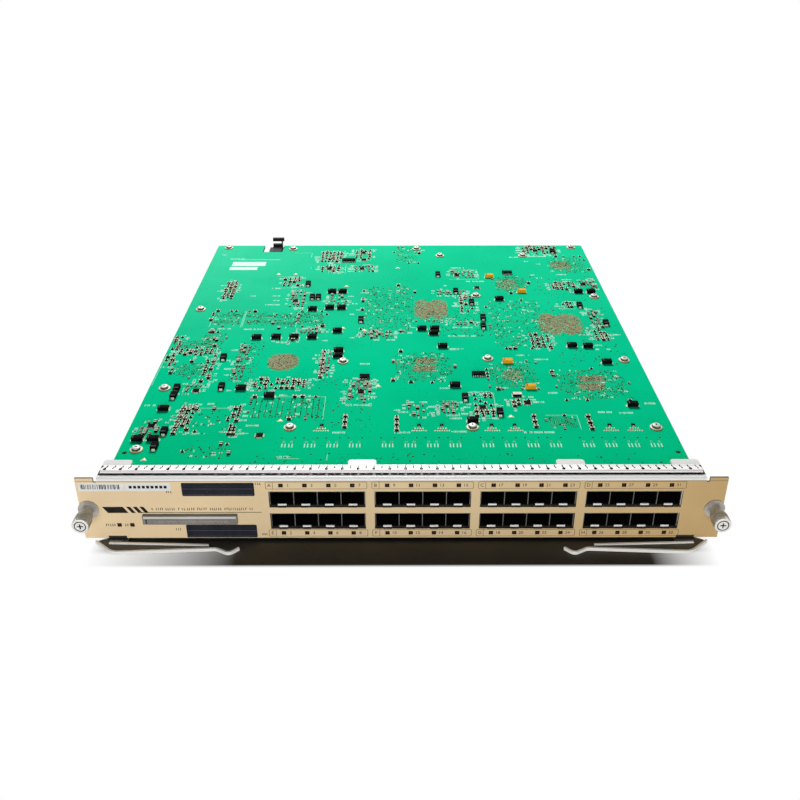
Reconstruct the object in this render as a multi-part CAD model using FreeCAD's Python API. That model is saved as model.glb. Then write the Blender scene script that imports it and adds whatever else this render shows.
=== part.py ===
import FreeCAD, Part
import math
import os

from FreeCAD import Vector

# Line card of a modular network switch, lying solder side up: one large board behind a folded
# front panel with two rows of pluggable optics ports, two captive screws and two ejector levers.
# Millimetres. +X is to the right seen from the ports, +Y towards the backplane, +Z up.
# The origin is under the middle of the card, on the surface that it lies on.

# Front panel, one folded steel sheet, as wide as the ports, the label tray and their margins
panel_height = 43.8
panel_thickness = 1.5
panel_bend_radius = 2.0
ear_width = 10.9
relief_width = 1.9
relief_depth = 2.9
flange_depth = 14.8
tab_reach = 5.8
tab_width = 17.2
tab_corner_radius = 2.0
inner_tabs_x = (-24.0, 103.0)

# Main board, depths measured from the front of the panel. Places on it are whole thousandths:
# across it of half its width, along it of the way from the front bar's middle to the back edge.
board_side_gap = 17.3
board_thickness = 2.4
board_back = 408.8
board_front_gap = 1.5
board_corner_radius = 1.5
tooling_hole_radius = 1.6
tooling_hole_inset = 4.6
tooling_hole_depth = 31.0
key_notch_inset = 54.6
key_notch_width = 18.8
key_notch_depth = 17.8

# Contact strip on the flange
gasket_start = 4.4
gasket_width = 9.6
gasket_height = 2.3
gasket_sheet = 0.35
gasket_lip_height = 0.9
gasket_crest = 2.6
gasket_foot = 1.0
gasket_end_margin = 1.5
finger_pitch = 4.75
finger_slit = 0.55

# Ports: groups of two rows, one window in the panel for each row
groups = ("a", "b", "c", "d")
ports_per_row = 4
port_pitch = 14.25
group_gap = 5.5
window_end_margin = 25.6
window_side_margin = 0.5
window_height = 11.7
upper_window_drop = 9.4
row_pitch = 16.0
mouth_lip = 1.4

# Cages behind the windows
cage_wall = 0.5
cage_depth = 50.0
cage_side_margin = 0.2
latch_tab_width = 5.2
latch_tab_reach = 0.6
latch_tab_lift = 0.3
connector_front = 37.0
connector_gap = 1.85
connector_end_gap = 0.6
card_slot_width = 9.6
card_slot_height = 1.4
card_slot_depth = 6.0

# Indicator windows and the light pipes in them
indicator_size = 2.7
upper_indicator_drop = 5.1
lower_indicator_drop = 40.2
pipe_clearance = 0.2
upper_pipe_length = 14.0
pipe_bridge = 3.0
pipe_setback = 0.4
status_insets = (22.2, 30.0)
status_drop = 33.9

# Pull-out label tray and its guide
tray_end_margin = 37.4
tray_window_margin = 19.9
tray_drop = 28.75
bezel_width = 57.2
bezel_height = 6.3
bezel_reach = 2.5
bezel_seat_gap = 0.2
blade_inset = 2.1
blade_thickness = 1.2
blade_length = 58.0
blade_clearance = 0.3
guide_wall = 1.0
guide_length = 46.0
guide_flange = 3.0

# Captive screws at half the height of the panel
screw_inset = 5.3
screw_reach = 17.8
screw_tip = 8.0
screw_thread_radius = 1.95
screw_neck_radius = 1.6
thread_ring_gap = 0.2
knob_radius = 5.1
knob_wall = 1.0
knob_length = 11.5
knob_face = 3.5
knob_chamfer = 0.7
recess_length = 4.2
recess_width = 0.9
recess_depth = 2.0
ferrule_flange_radius = 6.2
ferrule_flange = 1.2
ferrule_neck_radius = 3.2
ferrule_neck = 7.5
ferrule_bore_gap = 0.35
ferrule_body_radius = 4.0
ferrule_lip = 0.8
ferrule_fit = 0.05
retainer_radius = 3.3
retainer_thickness = 0.8
retainer_gap = 0.2
retainer_fit = 0.05
spring_wire = 0.6
spring_turns = 4
spring_steps = 10
spring_end_gap = 0.1

# Ejector levers, pressed sheet, closed along the lower edge of the panel
lever_ground_gap = 0.4
lever_sheet = 1.2
lever_height = 2.2
lever_panel_gap = 0.3
lever_pivot_inset = 19.9
lever_pivot_depth = 7.0
lever_neck_radius = 6.0
lever_notch_width = 11.2
lever_notch_height = 1.7
lever_points = {
    "nose": (-12.7, -8.5), "knee": (-0.6, -19.1), "bend": (61.9, -15.8),
    "dip": (70.0, -20.4), "tip": (75.0, -15.5),
    "rear_start": (-4.5, -10.3), "rear_end": (56.8, -12.6),
    "jaw_back": (-12.0, 6.0), "jaw_tip": (-12.6, 2.6), "jaw_root": (-6.0, 0.6), "nose_root": (-6.0, -4.6),
}
lever_hook_gap = 5.1
jaw_radius = 1.0
nose_bend_radius = 9.0
hook_bend_radius = 6.0
tip_bend_radius = 3.0
pivot_radius = 2.0
pivot_fit = 0.05
pivot_head_radius = 3.4
pivot_head_height = 1.2
bracket_half_width = 7.0
bracket_sheet = 1.5
bracket_reach = 14.0
bracket_height = 7.6
bracket_lever_gap = 0.3
bracket_leg = 1.6

# Stiffeners screwed under the board
rail_width = 8.0
rail_height = 6.0
side_screw_inset = 11.2
rail_front_margin = 5.2
rail_back_gap = 2.0
left_rail_screws = (-77, 155, 552, 978)
right_rail_screws = (-1, 279, 627, 980)
front_bar_gap = 2.5
front_bar_screws = (-410, 262)
bar_end_gap = 0.5
centre_rail_place = 366
centre_rail_screws = (287, 634)
rail_end_margin = 7.5
screw_shank_radius = 1.45
screw_hole_gap = 0.15
screw_washer_radius = 4.1
screw_washer = 0.8
screw_head_radius = 2.7
screw_head_height = 1.8
screw_bite = 5.0
fastener_sides = 8

# Backplane connectors under the back edge of the board
connector_overhang = 5.2
signal_edge_inset = 66.8
signal_screw_spacing = 119.1
signal_screw_setback = 15.6
signal_length = 28.0
signal_height = 24.0
signal_columns = 16
power_gap = 7.9
power_screw_spacing = 78.6
power_screw_setback = 34.6
power_length = 46.0
power_height = 18.0
power_blades = 6
connector_screw_margin = 7.0
pocket_depth = 6.0
pocket_gap = 2.2
pocket_rim = 3.0

# Moulded alignment key that stands in the notch of the board
key_width = 9.2
key_left_gap = 8.2
key_front_gap = 1.0
key_overhang = 2.0
key_drop = 16.0
key_slit = 2.9
key_slit_lift = 1.8
key_head_height = 3.0
key_head_overhang = 1.6
key_side_wall = 1.0
key_head_depth = 3.0
key_foot = 3.2

# Chips under the board, each a square substrate with a lid, and sinks shifted sideways from them;
# "chip" is the place of the chip on the board
chip_height = 3.4
lid_height = 1.8
lid_margin = 3.0
sink_base = 4.0
fin_thickness = 1.2
fin_pitch = 5.0
sink_screw_inset = 5.4
cooled_chips = {
    "heatsink_fabric": {"chip": (-493, 274), "size": 42.5, "shift": 3.8, "plan": (92.0, 66.0)},
    "heatsink_engine_left": {"chip": (144, 554), "size": 40.0, "shift": 0.0, "plan": (58.0, 58.0)},
    "heatsink_engine_right": {"chip": (725, 467), "size": 45.0, "shift": -6.3, "plan": (66.0, 74.0)},
    "heatsink_lookup_left": {"chip": (99, 259), "size": 31.0, "shift": 0.0, "plan": (46.0, 46.0)},
    "heatsink_lookup_right": {"chip": (766, 177), "size": 31.0, "shift": -5.5, "plan": (50.0, 46.0)},
}
bare_chips = ((839, 846, 19.0), (534, 712, 27.0), (458, 216, 19.0), (-723, 578, 27.0))
bare_chip_height = 2.2
memory_plan = (11.0, 14.0)
memory_height = 1.2
memory_places = ((-836, 101), (-746, 101), (-655, 101), (-836, 443), (-746, 443))

# Power parts under the board
brick_plan = (58.0, 37.0)
brick_height = 11.5
brick_places = ((-311, 817), (-311, 687))
can_radius = 5.0
can_height = 12.5
can_places = ((-593, 759), (-593, 799), (-593, 840), (0, 759), (0, 799), (0, 840))
choke_size = 12.0
choke_height = 7.5
choke_chamfer = 1.5
choke_places = ((-169, 428), (-169, 480), (537, 817), (638, 817), (-339, 83), (-237, 83))

# Parts soldered on the upper side of the board, the driver chips with their widths
moulded_plan = (7.3, 4.3)
moulded_height = 2.9
moulded_across = (
    (-333, 658), (-282, 658), (-412, 549), (-333, 558), (-277, 558), (-282, 426), (-469, 394), (-390, 394),
    (96, 437), (153, 437), (147, 414), (475, 610), (870, 656), (932, 656), (-266, 325), (-266, 299),
    (181, 345), (215, 164), (266, 23), (740, 348), (808, 345), (859, 267), (887, 83), (-633, 391),
    (-548, 394), (-633, 152), (-514, 121), (-904, 69), (-949, -43), (-893, -43),
)
moulded_along = (
    (-458, 707), (-424, 621), (-395, 621), (-181, 486), (192, 771), (271, 658), (339, 589), (379, 497),
    (373, 449), (825, 943), (847, 569), (932, 466), (249, 112), (373, 52), (-746, 290), (-887, 152),
    (-887, 121), (-712, 158), (-864, -17), (-876, -69),
)
tantalum_places = ((452, 759), (593, 658), (446, 270), (514, 155))
driver_places = ((-271, 877, 12.4), (316, 213, 9.4), (548, 785, 8.8), (-147, 201, 7.2))
driver_length = 6.4
driver_height = 2.0

# Places that follow from the sizes above
panel_bottom_z = lever_ground_gap + lever_height + lever_panel_gap
panel_top_z = panel_bottom_z + panel_height
board_top_z = panel_top_z - panel_thickness
board_bottom_z = board_top_z - board_thickness
connector_reach = board_back + connector_overhang
front_y = (screw_reach - connector_reach) / 2
window_width = ports_per_row * port_pitch + 2 * window_side_margin
group_pitch = window_width + group_gap
ports_width = (len(groups) - 1) * group_pitch + window_width
panel_width = tray_end_margin + bezel_width + tray_window_margin + ports_width + window_end_margin
panel_half = panel_width / 2
board_half = panel_half - board_side_gap
flange_half = panel_half - ear_width - relief_width
board_front = panel_thickness + board_front_gap
cage_front = panel_thickness
chip_face_z = board_bottom_z - chip_height
screw_axis_z = panel_bottom_z + panel_height / 2
screw_axis_x = panel_half - screw_inset
retainer_start = panel_thickness + ferrule_lip + retainer_gap
pivot_x = panel_half - lever_pivot_inset
web_bottom_z = lever_ground_gap
web_top_z = lever_ground_gap + lever_sheet
bracket_bottom_z = web_top_z + bracket_lever_gap
side_screw_x = board_half - side_screw_inset
front_bar_depth = cage_front + cage_depth + pipe_bridge + front_bar_gap + rail_width / 2
first_window_left = panel_half - window_end_margin - ports_width
status_x = [inset - panel_half for inset in status_insets]
tray_x = tray_end_margin + bezel_width / 2 - panel_half
blade_width = bezel_width - 2 * blade_inset
signal_half = signal_screw_spacing / 2 + connector_screw_margin
power_half = power_screw_spacing / 2 + connector_screw_margin
signal_x = signal_edge_inset + signal_half - board_half
power_x = signal_x + signal_half + power_gap + power_half
signal_screw_depth = connector_reach - signal_screw_setback
power_screw_depth = connector_reach - power_screw_setback
key_notch_x = key_notch_inset - board_half


def behind(depth):
    """Y of a plane this far behind the front of the panel."""
    return front_y + depth


def below(drop):
    """Z of a plane this far below the top edge of the panel."""
    return panel_top_z - drop


def across(share):
    """X of a place, from thousandths of half the width of the board."""
    return share / 1000 * board_half


def along(share):
    """Depth of a place, from thousandths of the way from the front bar to the back edge."""
    return front_bar_depth + share / 1000 * (board_back - front_bar_depth)


def places(shares):
    return [(across(x), along(depth)) for x, depth in shares]


def box(x0, x1, y0, y1, z0, z1):
    return Part.makeBox(x1 - x0, y1 - y0, z1 - z0, Vector(x0, y0, z0))


def block(x, depth, width, length, z0, z1):
    """Upright block centred on a place of the board."""
    y = behind(depth)
    return box(x - width / 2, x + width / 2, y - length / 2, y + length / 2, z0, z1)


def post(radius, x, depth, z0, z1):
    """Upright cylinder on a place of the board."""
    return Part.makeCylinder(radius, z1 - z0, Vector(x, behind(depth), z0))


def facet_post(radius, x, depth, z0, z1):
    """Upright many-sided bar on a place of the board, for fasteners and small cans that repeat."""
    turn = 2 * math.pi / fastener_sides
    corners = [
        Vector(x + radius * math.cos(i * turn), behind(depth) + radius * math.sin(i * turn), z0)
        for i in range(fastener_sides)
    ]
    return outline(corners).extrude(Vector(0, 0, z1 - z0))


def bent_line(points, radii):
    """Edges along the points, with a tangent arc of the given radius at each inner point."""
    edges = []
    start = points[0]
    for before, corner, after, radius in zip(points, points[1:], points[2:], radii):
        towards = (before - corner).normalize()
        away = (after - corner).normalize()
        half_angle = towards.getAngle(away) / 2
        first = corner + towards * (radius / math.tan(half_angle))
        last = corner + away * (radius / math.tan(half_angle))
        middle = (towards + away).normalize()
        centre = corner + middle * (radius / math.sin(half_angle))
        edges.append(Part.LineSegment(start, first).toShape())
        edges.append(Part.Arc(first, centre - middle * radius, last).toShape())
        start = last
    edges.append(Part.LineSegment(start, points[-1]).toShape())
    return edges


def outline(points):
    return Part.Face(Part.makePolygon(points + [points[0]]))


def rounded_plate(x0, x1, y0, y1, z0, z1, front_radius, back_radius):
    """Plate with its two front and its two back corners rounded."""
    plate = box(x0, x1, y0, y1, z0, z1)
    for radius, y in ((front_radius, y0), (back_radius, y1)):
        upright = [
            e for e in plate.Edges
            if abs(e.CenterOfMass.y - y) < 1e-6 and abs(e.CenterOfMass.z - (z0 + z1) / 2) < 1e-6
            and e.BoundBox.XLength < 1e-6
        ]
        if radius > 0:
            plate = plate.makeFillet(radius, upright)
    return plate


def turned(profile, side):
    """Solid of revolution about a captive screw's axis, from (radius, depth) points."""
    x = side * screw_axis_x
    face = outline([Vector(x + radius, behind(depth), screw_axis_z) for radius, depth in profile])
    return face.revolve(Vector(x, front_y, screw_axis_z), Vector(0, 1, 0), 360)


def mirrored(shape):
    return shape.mirror(Vector(0, 0, 0), Vector(1, 0, 0))


def save(name, *solids):
    """One file for a node: a single solid, or a group of like solids."""
    shape = solids[0] if len(solids) == 1 else Part.makeCompound(list(solids))
    shape.exportStep("parts/" + name + ".step")


def window_left(group):
    return first_window_left + group * group_pitch


def port_centre(group, port):
    middle = window_left(group) + window_width / 2
    return middle + (port - (ports_per_row - 1) / 2) * port_pitch


def window_drop(row):
    return upper_window_drop + row * row_pitch


def board_screw_places():
    """(x, depth) of every screw that passes down through the board."""
    spots = rail_screws(-side_screw_x, left_rail_screws) + rail_screws(side_screw_x, right_rail_screws)
    spots += rail_screws(across(centre_rail_place), centre_rail_screws) + bar_screws()
    for x, spacing, depth in (
        (signal_x, signal_screw_spacing, signal_screw_depth),
        (power_x, power_screw_spacing, power_screw_depth),
    ):
        spots += [(x - spacing / 2, depth), (x + spacing / 2, depth)]
    spots.append(fabric_sink_screw())
    return spots


def rail_screws(x, shares):
    return [(x, along(share)) for share in shares]


def bar_screws():
    return [(across(share), front_bar_depth) for share in front_bar_screws]


def fabric_sink_screw():
    spec = cooled_chips["heatsink_fabric"]
    x, depth = sink_place(spec)
    return x + spec["plan"][0] / 2 - sink_screw_inset, depth


def sink_place(spec):
    x, depth = spec["chip"]
    return across(x) + spec["shift"], along(depth)


def front_panel():
    """Folded sheet: face with ears, flange with four tabs over the board, windows and notches."""
    r, t = panel_bend_radius, panel_thickness
    spot = lambda depth, z: Vector(-flange_half, behind(depth), z)
    top = panel_top_z
    slant = r * (1 - math.sqrt(0.5))
    inner_slant = r - (r - t) * math.sqrt(0.5)
    corners = [
        (spot(0, panel_bottom_z), spot(0, top - r)),
        (spot(r, top), spot(flange_depth, top)),
        (spot(flange_depth, top), spot(flange_depth, top - t)),
        (spot(flange_depth, top - t), spot(r, top - t)),
        (spot(t, top - r), spot(t, panel_bottom_z)),
        (spot(t, panel_bottom_z), spot(0, panel_bottom_z)),
    ]
    edges = [Part.LineSegment(a, b).toShape() for a, b in corners]
    outer = Part.Arc(spot(0, top - r), spot(slant, top - slant), spot(r, top)).toShape()
    inner = Part.Arc(spot(r, top - t), spot(inner_slant, top - inner_slant), spot(t, top - r)).toShape()
    edges.insert(1, outer)
    edges.insert(5, inner)
    panel = Part.Face(Part.Wire(edges)).extrude(Vector(2 * flange_half, 0, 0))

    ears = []
    for x0, x1, notch in (
        (-panel_half, -flange_half, -flange_half - relief_width),
        (flange_half, panel_half, flange_half),
    ):
        ear = box(x0, x1, front_y, behind(t), panel_bottom_z, top)
        ears.append(ear.cut(box(notch, notch + relief_width, front_y, behind(t), below(relief_depth), top)))
    end_tab = flange_half - tab_width / 2
    tabs = []
    for x in (-end_tab, *inner_tabs_x, end_tab):
        tabs.append(rounded_plate(
            x - tab_width / 2, x + tab_width / 2, behind(flange_depth), behind(flange_depth + tab_reach),
            top - t, top, 0, tab_corner_radius,
        ))
    panel = panel.fuse(ears + tabs).removeSplitter()

    cuts = []
    for group in range(len(groups)):
        for row in range(2):
            left, drop = window_left(group), window_drop(row)
            sill = below(drop + window_height)
            cuts.append(box(left, left + window_width, front_y, behind(t), sill, below(drop)))
        for port in range(ports_per_row):
            for drop in (upper_indicator_drop, lower_indicator_drop):
                cuts.append(indicator(port_centre(group, port), drop, indicator_size, 0, t))
    cuts += [indicator(x, status_drop, indicator_size, 0, t) for x in status_x]
    slot_width = blade_width + 2 * blade_clearance
    slot_height = blade_thickness + 2 * blade_clearance
    cuts.append(box(
        tray_x - slot_width / 2, tray_x + slot_width / 2, front_y, behind(t),
        below(tray_drop + slot_height / 2), below(tray_drop - slot_height / 2),
    ))
    for side in (-1, 1):
        hole = Vector(side * screw_axis_x, front_y, screw_axis_z)
        cuts.append(Part.makeCylinder(ferrule_body_radius + ferrule_fit, t, hole, Vector(0, 1, 0)))
        x = side * pivot_x
        cuts.append(box(
            x - lever_notch_width / 2, x + lever_notch_width / 2, front_y, behind(t),
            panel_bottom_z, panel_bottom_z + lever_notch_height,
        ))
    return panel.cut(cuts)


def indicator(x, drop, size, depth0, depth1):
    """Square bar through the panel, used for indicator windows and for the pipes in them."""
    z = below(drop)
    return box(x - size / 2, x + size / 2, behind(depth0), behind(depth1), z - size / 2, z + size / 2)


def contact_strip():
    """Folded spring strip on the flange, its back slope cut into fingers."""
    half = flange_half - gasket_end_margin
    end = gasket_start + gasket_width
    crest = gasket_start + gasket_crest
    lift = gasket_height - gasket_sheet
    rise = [(gasket_start, gasket_lip_height), (crest, lift), (end - gasket_foot, 0), (end, 0)]
    upper = [(depth, height + gasket_sheet) for depth, height in reversed(rise)]
    section = [Vector(-half, behind(depth), panel_top_z + height) for depth, height in rise + upper]
    strip = outline(section).extrude(Vector(2 * half, 0, 0))
    count = int(2 * half / finger_pitch)
    first = -(count - 1) / 2 * finger_pitch
    top = panel_top_z + gasket_height
    slits = []
    for i in range(count):
        x = first + i * finger_pitch
        left, right = x - finger_slit / 2, x + finger_slit / 2
        slits.append(box(left, right, behind(crest), behind(end), panel_top_z, top))
    return strip.cut(slits)


def main_board():
    """Board with screw holes, two tooling holes and the notch for the alignment key."""
    board = rounded_plate(
        -board_half, board_half, behind(board_front), behind(board_back), board_bottom_z, board_top_z,
        0, board_corner_radius,
    )
    cuts = [
        facet_post(screw_shank_radius + screw_hole_gap, x, depth, board_bottom_z, board_top_z)
        for x, depth in board_screw_places()
    ]
    for side in (-1, 1):
        x = side * (board_half - tooling_hole_inset)
        cuts.append(post(tooling_hole_radius, x, tooling_hole_depth, board_bottom_z, board_top_z))
    cuts.append(box(
        key_notch_x - key_notch_width / 2, key_notch_x + key_notch_width / 2,
        behind(board_back - key_notch_depth), behind(board_back), board_bottom_z, board_top_z,
    ))
    return board.cut(cuts)


def row_levels(row):
    """Z of the roof and of the floor inside one row of ports."""
    drop = window_drop(row)
    roof = below(drop + mouth_lip)
    floor = below(drop + window_height) + latch_tab_lift + cage_wall
    return roof, floor


def latch_tabs(group, floor):
    """Tongues that reach out through the window below each port."""
    tabs = []
    for port in range(ports_per_row):
        x = port_centre(group, port)
        tabs.append(box(
            x - latch_tab_width / 2, x + latch_tab_width / 2,
            behind(-latch_tab_reach), behind(cage_front + cage_wall), floor - cage_wall, floor,
        ))
    return tabs


def cage_sides(group):
    left = window_left(group) + cage_side_margin
    return left, left + window_width - 2 * cage_side_margin


def cage_cover(group):
    """Folded cover: floor of the lower row, both sides up to the board, and the back."""
    left, right = cage_sides(group)
    floor = row_levels(1)[1]
    bottom = floor - cage_wall
    y0, y1 = behind(cage_front), behind(cage_front + cage_depth)
    cover = box(left, right, y0, y1, bottom, board_bottom_z)
    inside = box(left + cage_wall, right - cage_wall, y0, y1 - cage_wall, floor, board_bottom_z)
    return cover.cut(inside).fuse(latch_tabs(group, floor)).removeSplitter()


def cage_partitions(group):
    """Roof plate, folded separator between the rows, and the upright dividers between ports."""
    left, right = (edge + step for edge, step in zip(cage_sides(group), (cage_wall, -cage_wall)))
    y0, y1 = behind(cage_front), behind(connector_front)
    upper_roof, upper_floor = row_levels(0)
    lower_roof, lower_floor = row_levels(1)
    roof = box(left, right, y0, y1, upper_roof, upper_roof + cage_wall)
    separator = box(left, right, y0, y1, lower_roof, upper_floor)
    hollow = box(left, right, y0 + cage_wall, y1, lower_roof + cage_wall, upper_floor - cage_wall)
    separator = separator.cut(hollow).fuse(latch_tabs(group, upper_floor)).removeSplitter()
    pieces = [roof, separator]
    for port in range(ports_per_row - 1):
        x = port_centre(group, port) + port_pitch / 2
        for top, bottom in ((upper_roof, upper_floor), (lower_roof, lower_floor)):
            pieces.append(box(x - cage_wall / 2, x + cage_wall / 2, y0, y1, bottom, top))
    return pieces


def port_connectors(group):
    """Stacked card-edge connectors, one for each pair of ports, soldered to the board."""
    pieces = []
    back = cage_front + cage_depth - cage_wall - connector_end_gap
    floor = row_levels(1)[1]
    for port in range(ports_per_row):
        x = port_centre(group, port)
        half = (port_pitch - connector_gap) / 2
        body = box(x - half, x + half, behind(connector_front), behind(back), floor, board_bottom_z)
        slots = []
        for row in range(2):
            roof, bottom = row_levels(row)
            middle = (roof + bottom) / 2
            slots.append(box(
                x - card_slot_width / 2, x + card_slot_width / 2,
                behind(connector_front), behind(connector_front + card_slot_depth),
                middle - card_slot_height / 2, middle + card_slot_height / 2,
            ))
        pieces.append(body.cut(slots))
    return pieces


def upper_light_pipes(group):
    """Comb of four short pipes that lies against the underside of the board."""
    size = indicator_size - 2 * pipe_clearance
    bars = [
        indicator(port_centre(group, port), upper_indicator_drop, size, pipe_setback, upper_pipe_length)
        for port in range(ports_per_row)
    ]
    z = below(upper_indicator_drop)
    bridge = box(
        port_centre(group, 0), port_centre(group, ports_per_row - 1),
        behind(upper_pipe_length - pipe_bridge), behind(upper_pipe_length), z - size / 2, board_bottom_z,
    )
    return bars[0].fuse(bars[1:] + [bridge]).removeSplitter()


def lower_light_pipes(group):
    """Comb of four long pipes that runs under the cage and turns up behind it to the board."""
    size = indicator_size - 2 * pipe_clearance
    back = cage_front + cage_depth + pipe_bridge
    z = below(lower_indicator_drop)
    cage_bottom = row_levels(1)[1] - cage_wall
    bars = []
    for port in range(ports_per_row):
        x = port_centre(group, port)
        bars.append(indicator(x, lower_indicator_drop, size, pipe_setback, back))
        bars.append(block(x, back - size / 2, size, size, z - size / 2, board_bottom_z))
    bridge = box(
        port_centre(group, 0), port_centre(group, ports_per_row - 1),
        behind(upper_pipe_length - pipe_bridge), behind(upper_pipe_length), z - size / 2, cage_bottom,
    )
    return bars[0].fuse(bars[1:] + [bridge]).removeSplitter()


def status_light_pipes():
    """Pipe pair for the status windows, carried by the rim that seats on the panel."""
    size = indicator_size - 2 * pipe_clearance
    bars = [indicator(x, status_drop, size, pipe_setback, upper_pipe_length) for x in status_x]
    z = below(status_drop)
    rim = box(
        status_x[0] - indicator_size, status_x[1] + indicator_size,
        behind(panel_thickness), behind(panel_thickness + pipe_bridge),
        z - indicator_size, z + indicator_size,
    )
    return bars[0].fuse(bars[1:] + [rim]).removeSplitter()


def label_tray():
    """Bezel with a thin blade that slides out through the panel."""
    z = below(tray_drop)
    bezel = box(
        tray_x - bezel_width / 2, tray_x + bezel_width / 2, behind(-bezel_reach), behind(-bezel_seat_gap),
        z - bezel_height / 2, z + bezel_height / 2,
    )
    blade = box(
        tray_x - blade_width / 2, tray_x + blade_width / 2, behind(-bezel_seat_gap), behind(blade_length),
        z - blade_thickness / 2, z + blade_thickness / 2,
    )
    return bezel.fuse(blade).removeSplitter()


def tray_guide():
    """Sleeve for the blade with a flange on the back of the panel."""
    z = below(tray_drop)
    half_width = blade_width / 2 + blade_clearance
    half_height = blade_thickness / 2 + blade_clearance

    def bar(margin, length):
        w, h = half_width + margin, half_height + margin
        y = behind(panel_thickness)
        return box(tray_x - w, tray_x + w, y, y + length, z - h, z + h)

    sleeve = bar(guide_wall, guide_length)
    flange = bar(guide_wall + guide_flange, guide_wall)
    passage = bar(0, guide_length)
    return sleeve.fuse(flange).removeSplitter().cut(passage)


def captive_screw(side):
    """Hollow knob, neck and threaded end in one piece, with a cross recess in the face."""
    front = -screw_reach
    rim = front + knob_length
    floor = front + knob_face
    inside = knob_radius - knob_wall
    thread = retainer_start + retainer_thickness + thread_ring_gap
    screw = turned([
        (0, front), (knob_radius - knob_chamfer, front), (knob_radius, front + knob_chamfer),
        (knob_radius, rim), (inside, rim), (inside, floor), (screw_neck_radius, floor),
        (screw_neck_radius, thread), (screw_thread_radius, thread),
        (screw_thread_radius, screw_tip), (0, screw_tip),
    ], side)
    x = side * screw_axis_x
    arms = []
    for width, height in ((recess_length, recess_width), (recess_width, recess_length)):
        arms.append(box(
            x - width / 2, x + width / 2, behind(front), behind(front + recess_depth),
            screw_axis_z - height / 2, screw_axis_z + height / 2,
        ))
    return screw.cut(arms)


def ferrule(side):
    """Flanged bush swaged into the panel, with the neck that the knob slides over."""
    bore = screw_thread_radius + ferrule_bore_gap
    lip = panel_thickness + ferrule_lip
    return turned([
        (bore, -ferrule_neck), (ferrule_neck_radius, -ferrule_neck), (ferrule_neck_radius, -ferrule_flange),
        (ferrule_flange_radius, -ferrule_flange), (ferrule_flange_radius, 0), (ferrule_body_radius, 0),
        (ferrule_body_radius, lip), (bore, lip),
    ], side)


def retainer(side):
    """Ring on the shank that stops the spring from pushing the screw out."""
    bore = screw_neck_radius + retainer_fit
    start, end = retainer_start, retainer_start + retainer_thickness
    return turned([(bore, start), (retainer_radius, start), (retainer_radius, end), (bore, end)], side)


def captive_spring(side):
    """Coil of square wire inside the knob, between its floor and the neck of the ferrule."""
    start = -screw_reach + knob_face + spring_end_gap + spring_wire / 2
    end = -ferrule_neck - spring_end_gap - spring_wire / 2
    radius = (screw_neck_radius + knob_radius - knob_wall) / 2
    half = spring_wire / 2
    steps = spring_turns * spring_steps
    sections = []
    for i in range(steps + 1):
        angle = 2 * math.pi * i / spring_steps
        depth = start + (end - start) * i / steps
        sections.append(Part.makePolygon([
            Vector(
                side * screw_axis_x + (radius + out) * math.cos(angle), behind(depth + along),
                screw_axis_z + (radius + out) * math.sin(angle),
            )
            for out, along in ((-half, -half), (half, -half), (half, half), (-half, half), (-half, -half))
        ]))
    return Part.makeLoft(sections, True, True)


def left_lever():
    """Pressed lever: flat web with a jaw, two upturned edges and a curled finger hook."""
    pivot = Vector(-pivot_x, behind(lever_pivot_depth), web_bottom_z)
    spot = lambda place: pivot + Vector(*place)
    path = [spot(lever_points[name]) for name in ("nose", "knee", "bend", "dip", "tip")]
    edge_line = Part.Wire(bent_line(path, [nose_bend_radius, hook_bend_radius, tip_bend_radius]))
    front_edge = edge_line.makeOffset2D(lever_sheet, fill=True, openResult=True)
    front_edge = front_edge.extrude(Vector(0, 0, lever_height))

    nose, knee, bend = path[:3]
    run = (bend - knee).normalize()
    web_front = bend - run * lever_hook_gap
    rear_start, rear_end = spot(lever_points["rear_start"]), spot(lever_points["rear_end"])
    rear_run = (rear_end - rear_start).normalize()
    forward = rear_run.cross(Vector(0, 0, 1)) * lever_sheet
    r = lever_neck_radius
    neck_front = rear_start + forward + rear_run * (pivot.x + r - rear_start.x)
    edges = bent_line([nose, knee, web_front], [nose_bend_radius])
    neck_side, neck_back = pivot + Vector(r, 0, 0), pivot + Vector(0, r, 0)
    edges += bent_line([web_front, rear_end + forward, neck_front, neck_side], [jaw_radius, jaw_radius])
    slant = r * math.sqrt(0.5)
    edges.append(Part.Arc(neck_side, pivot + Vector(slant, slant, 0), neck_back).toShape())
    jaw = [neck_back, spot(lever_points["jaw_back"]), spot(lever_points["jaw_tip"])]
    jaw += [spot(lever_points["jaw_root"]), spot(lever_points["nose_root"]), nose]
    edges += bent_line(jaw, [jaw_radius] * (len(jaw) - 2))
    web = Part.Face(Part.Wire(edges)).extrude(Vector(0, 0, lever_sheet))

    rear_edge = outline([rear_start, rear_end, rear_end + forward, rear_start + forward])
    rear_edge = rear_edge.extrude(Vector(0, 0, lever_height))
    hole = post(pivot_radius + pivot_fit, -pivot_x, lever_pivot_depth, web_bottom_z, web_top_z)
    return web.fuse([front_edge, rear_edge]).removeSplitter().cut(hole)


def left_pivot():
    """Rivet that holds the lever under its bracket, flush with the lever below."""
    top = bracket_bottom_z + bracket_sheet
    pin = post(pivot_radius, -pivot_x, lever_pivot_depth, web_bottom_z, top)
    head = post(pivot_head_radius, -pivot_x, lever_pivot_depth, top, top + pivot_head_height)
    return pin.fuse(head).removeSplitter()


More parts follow.
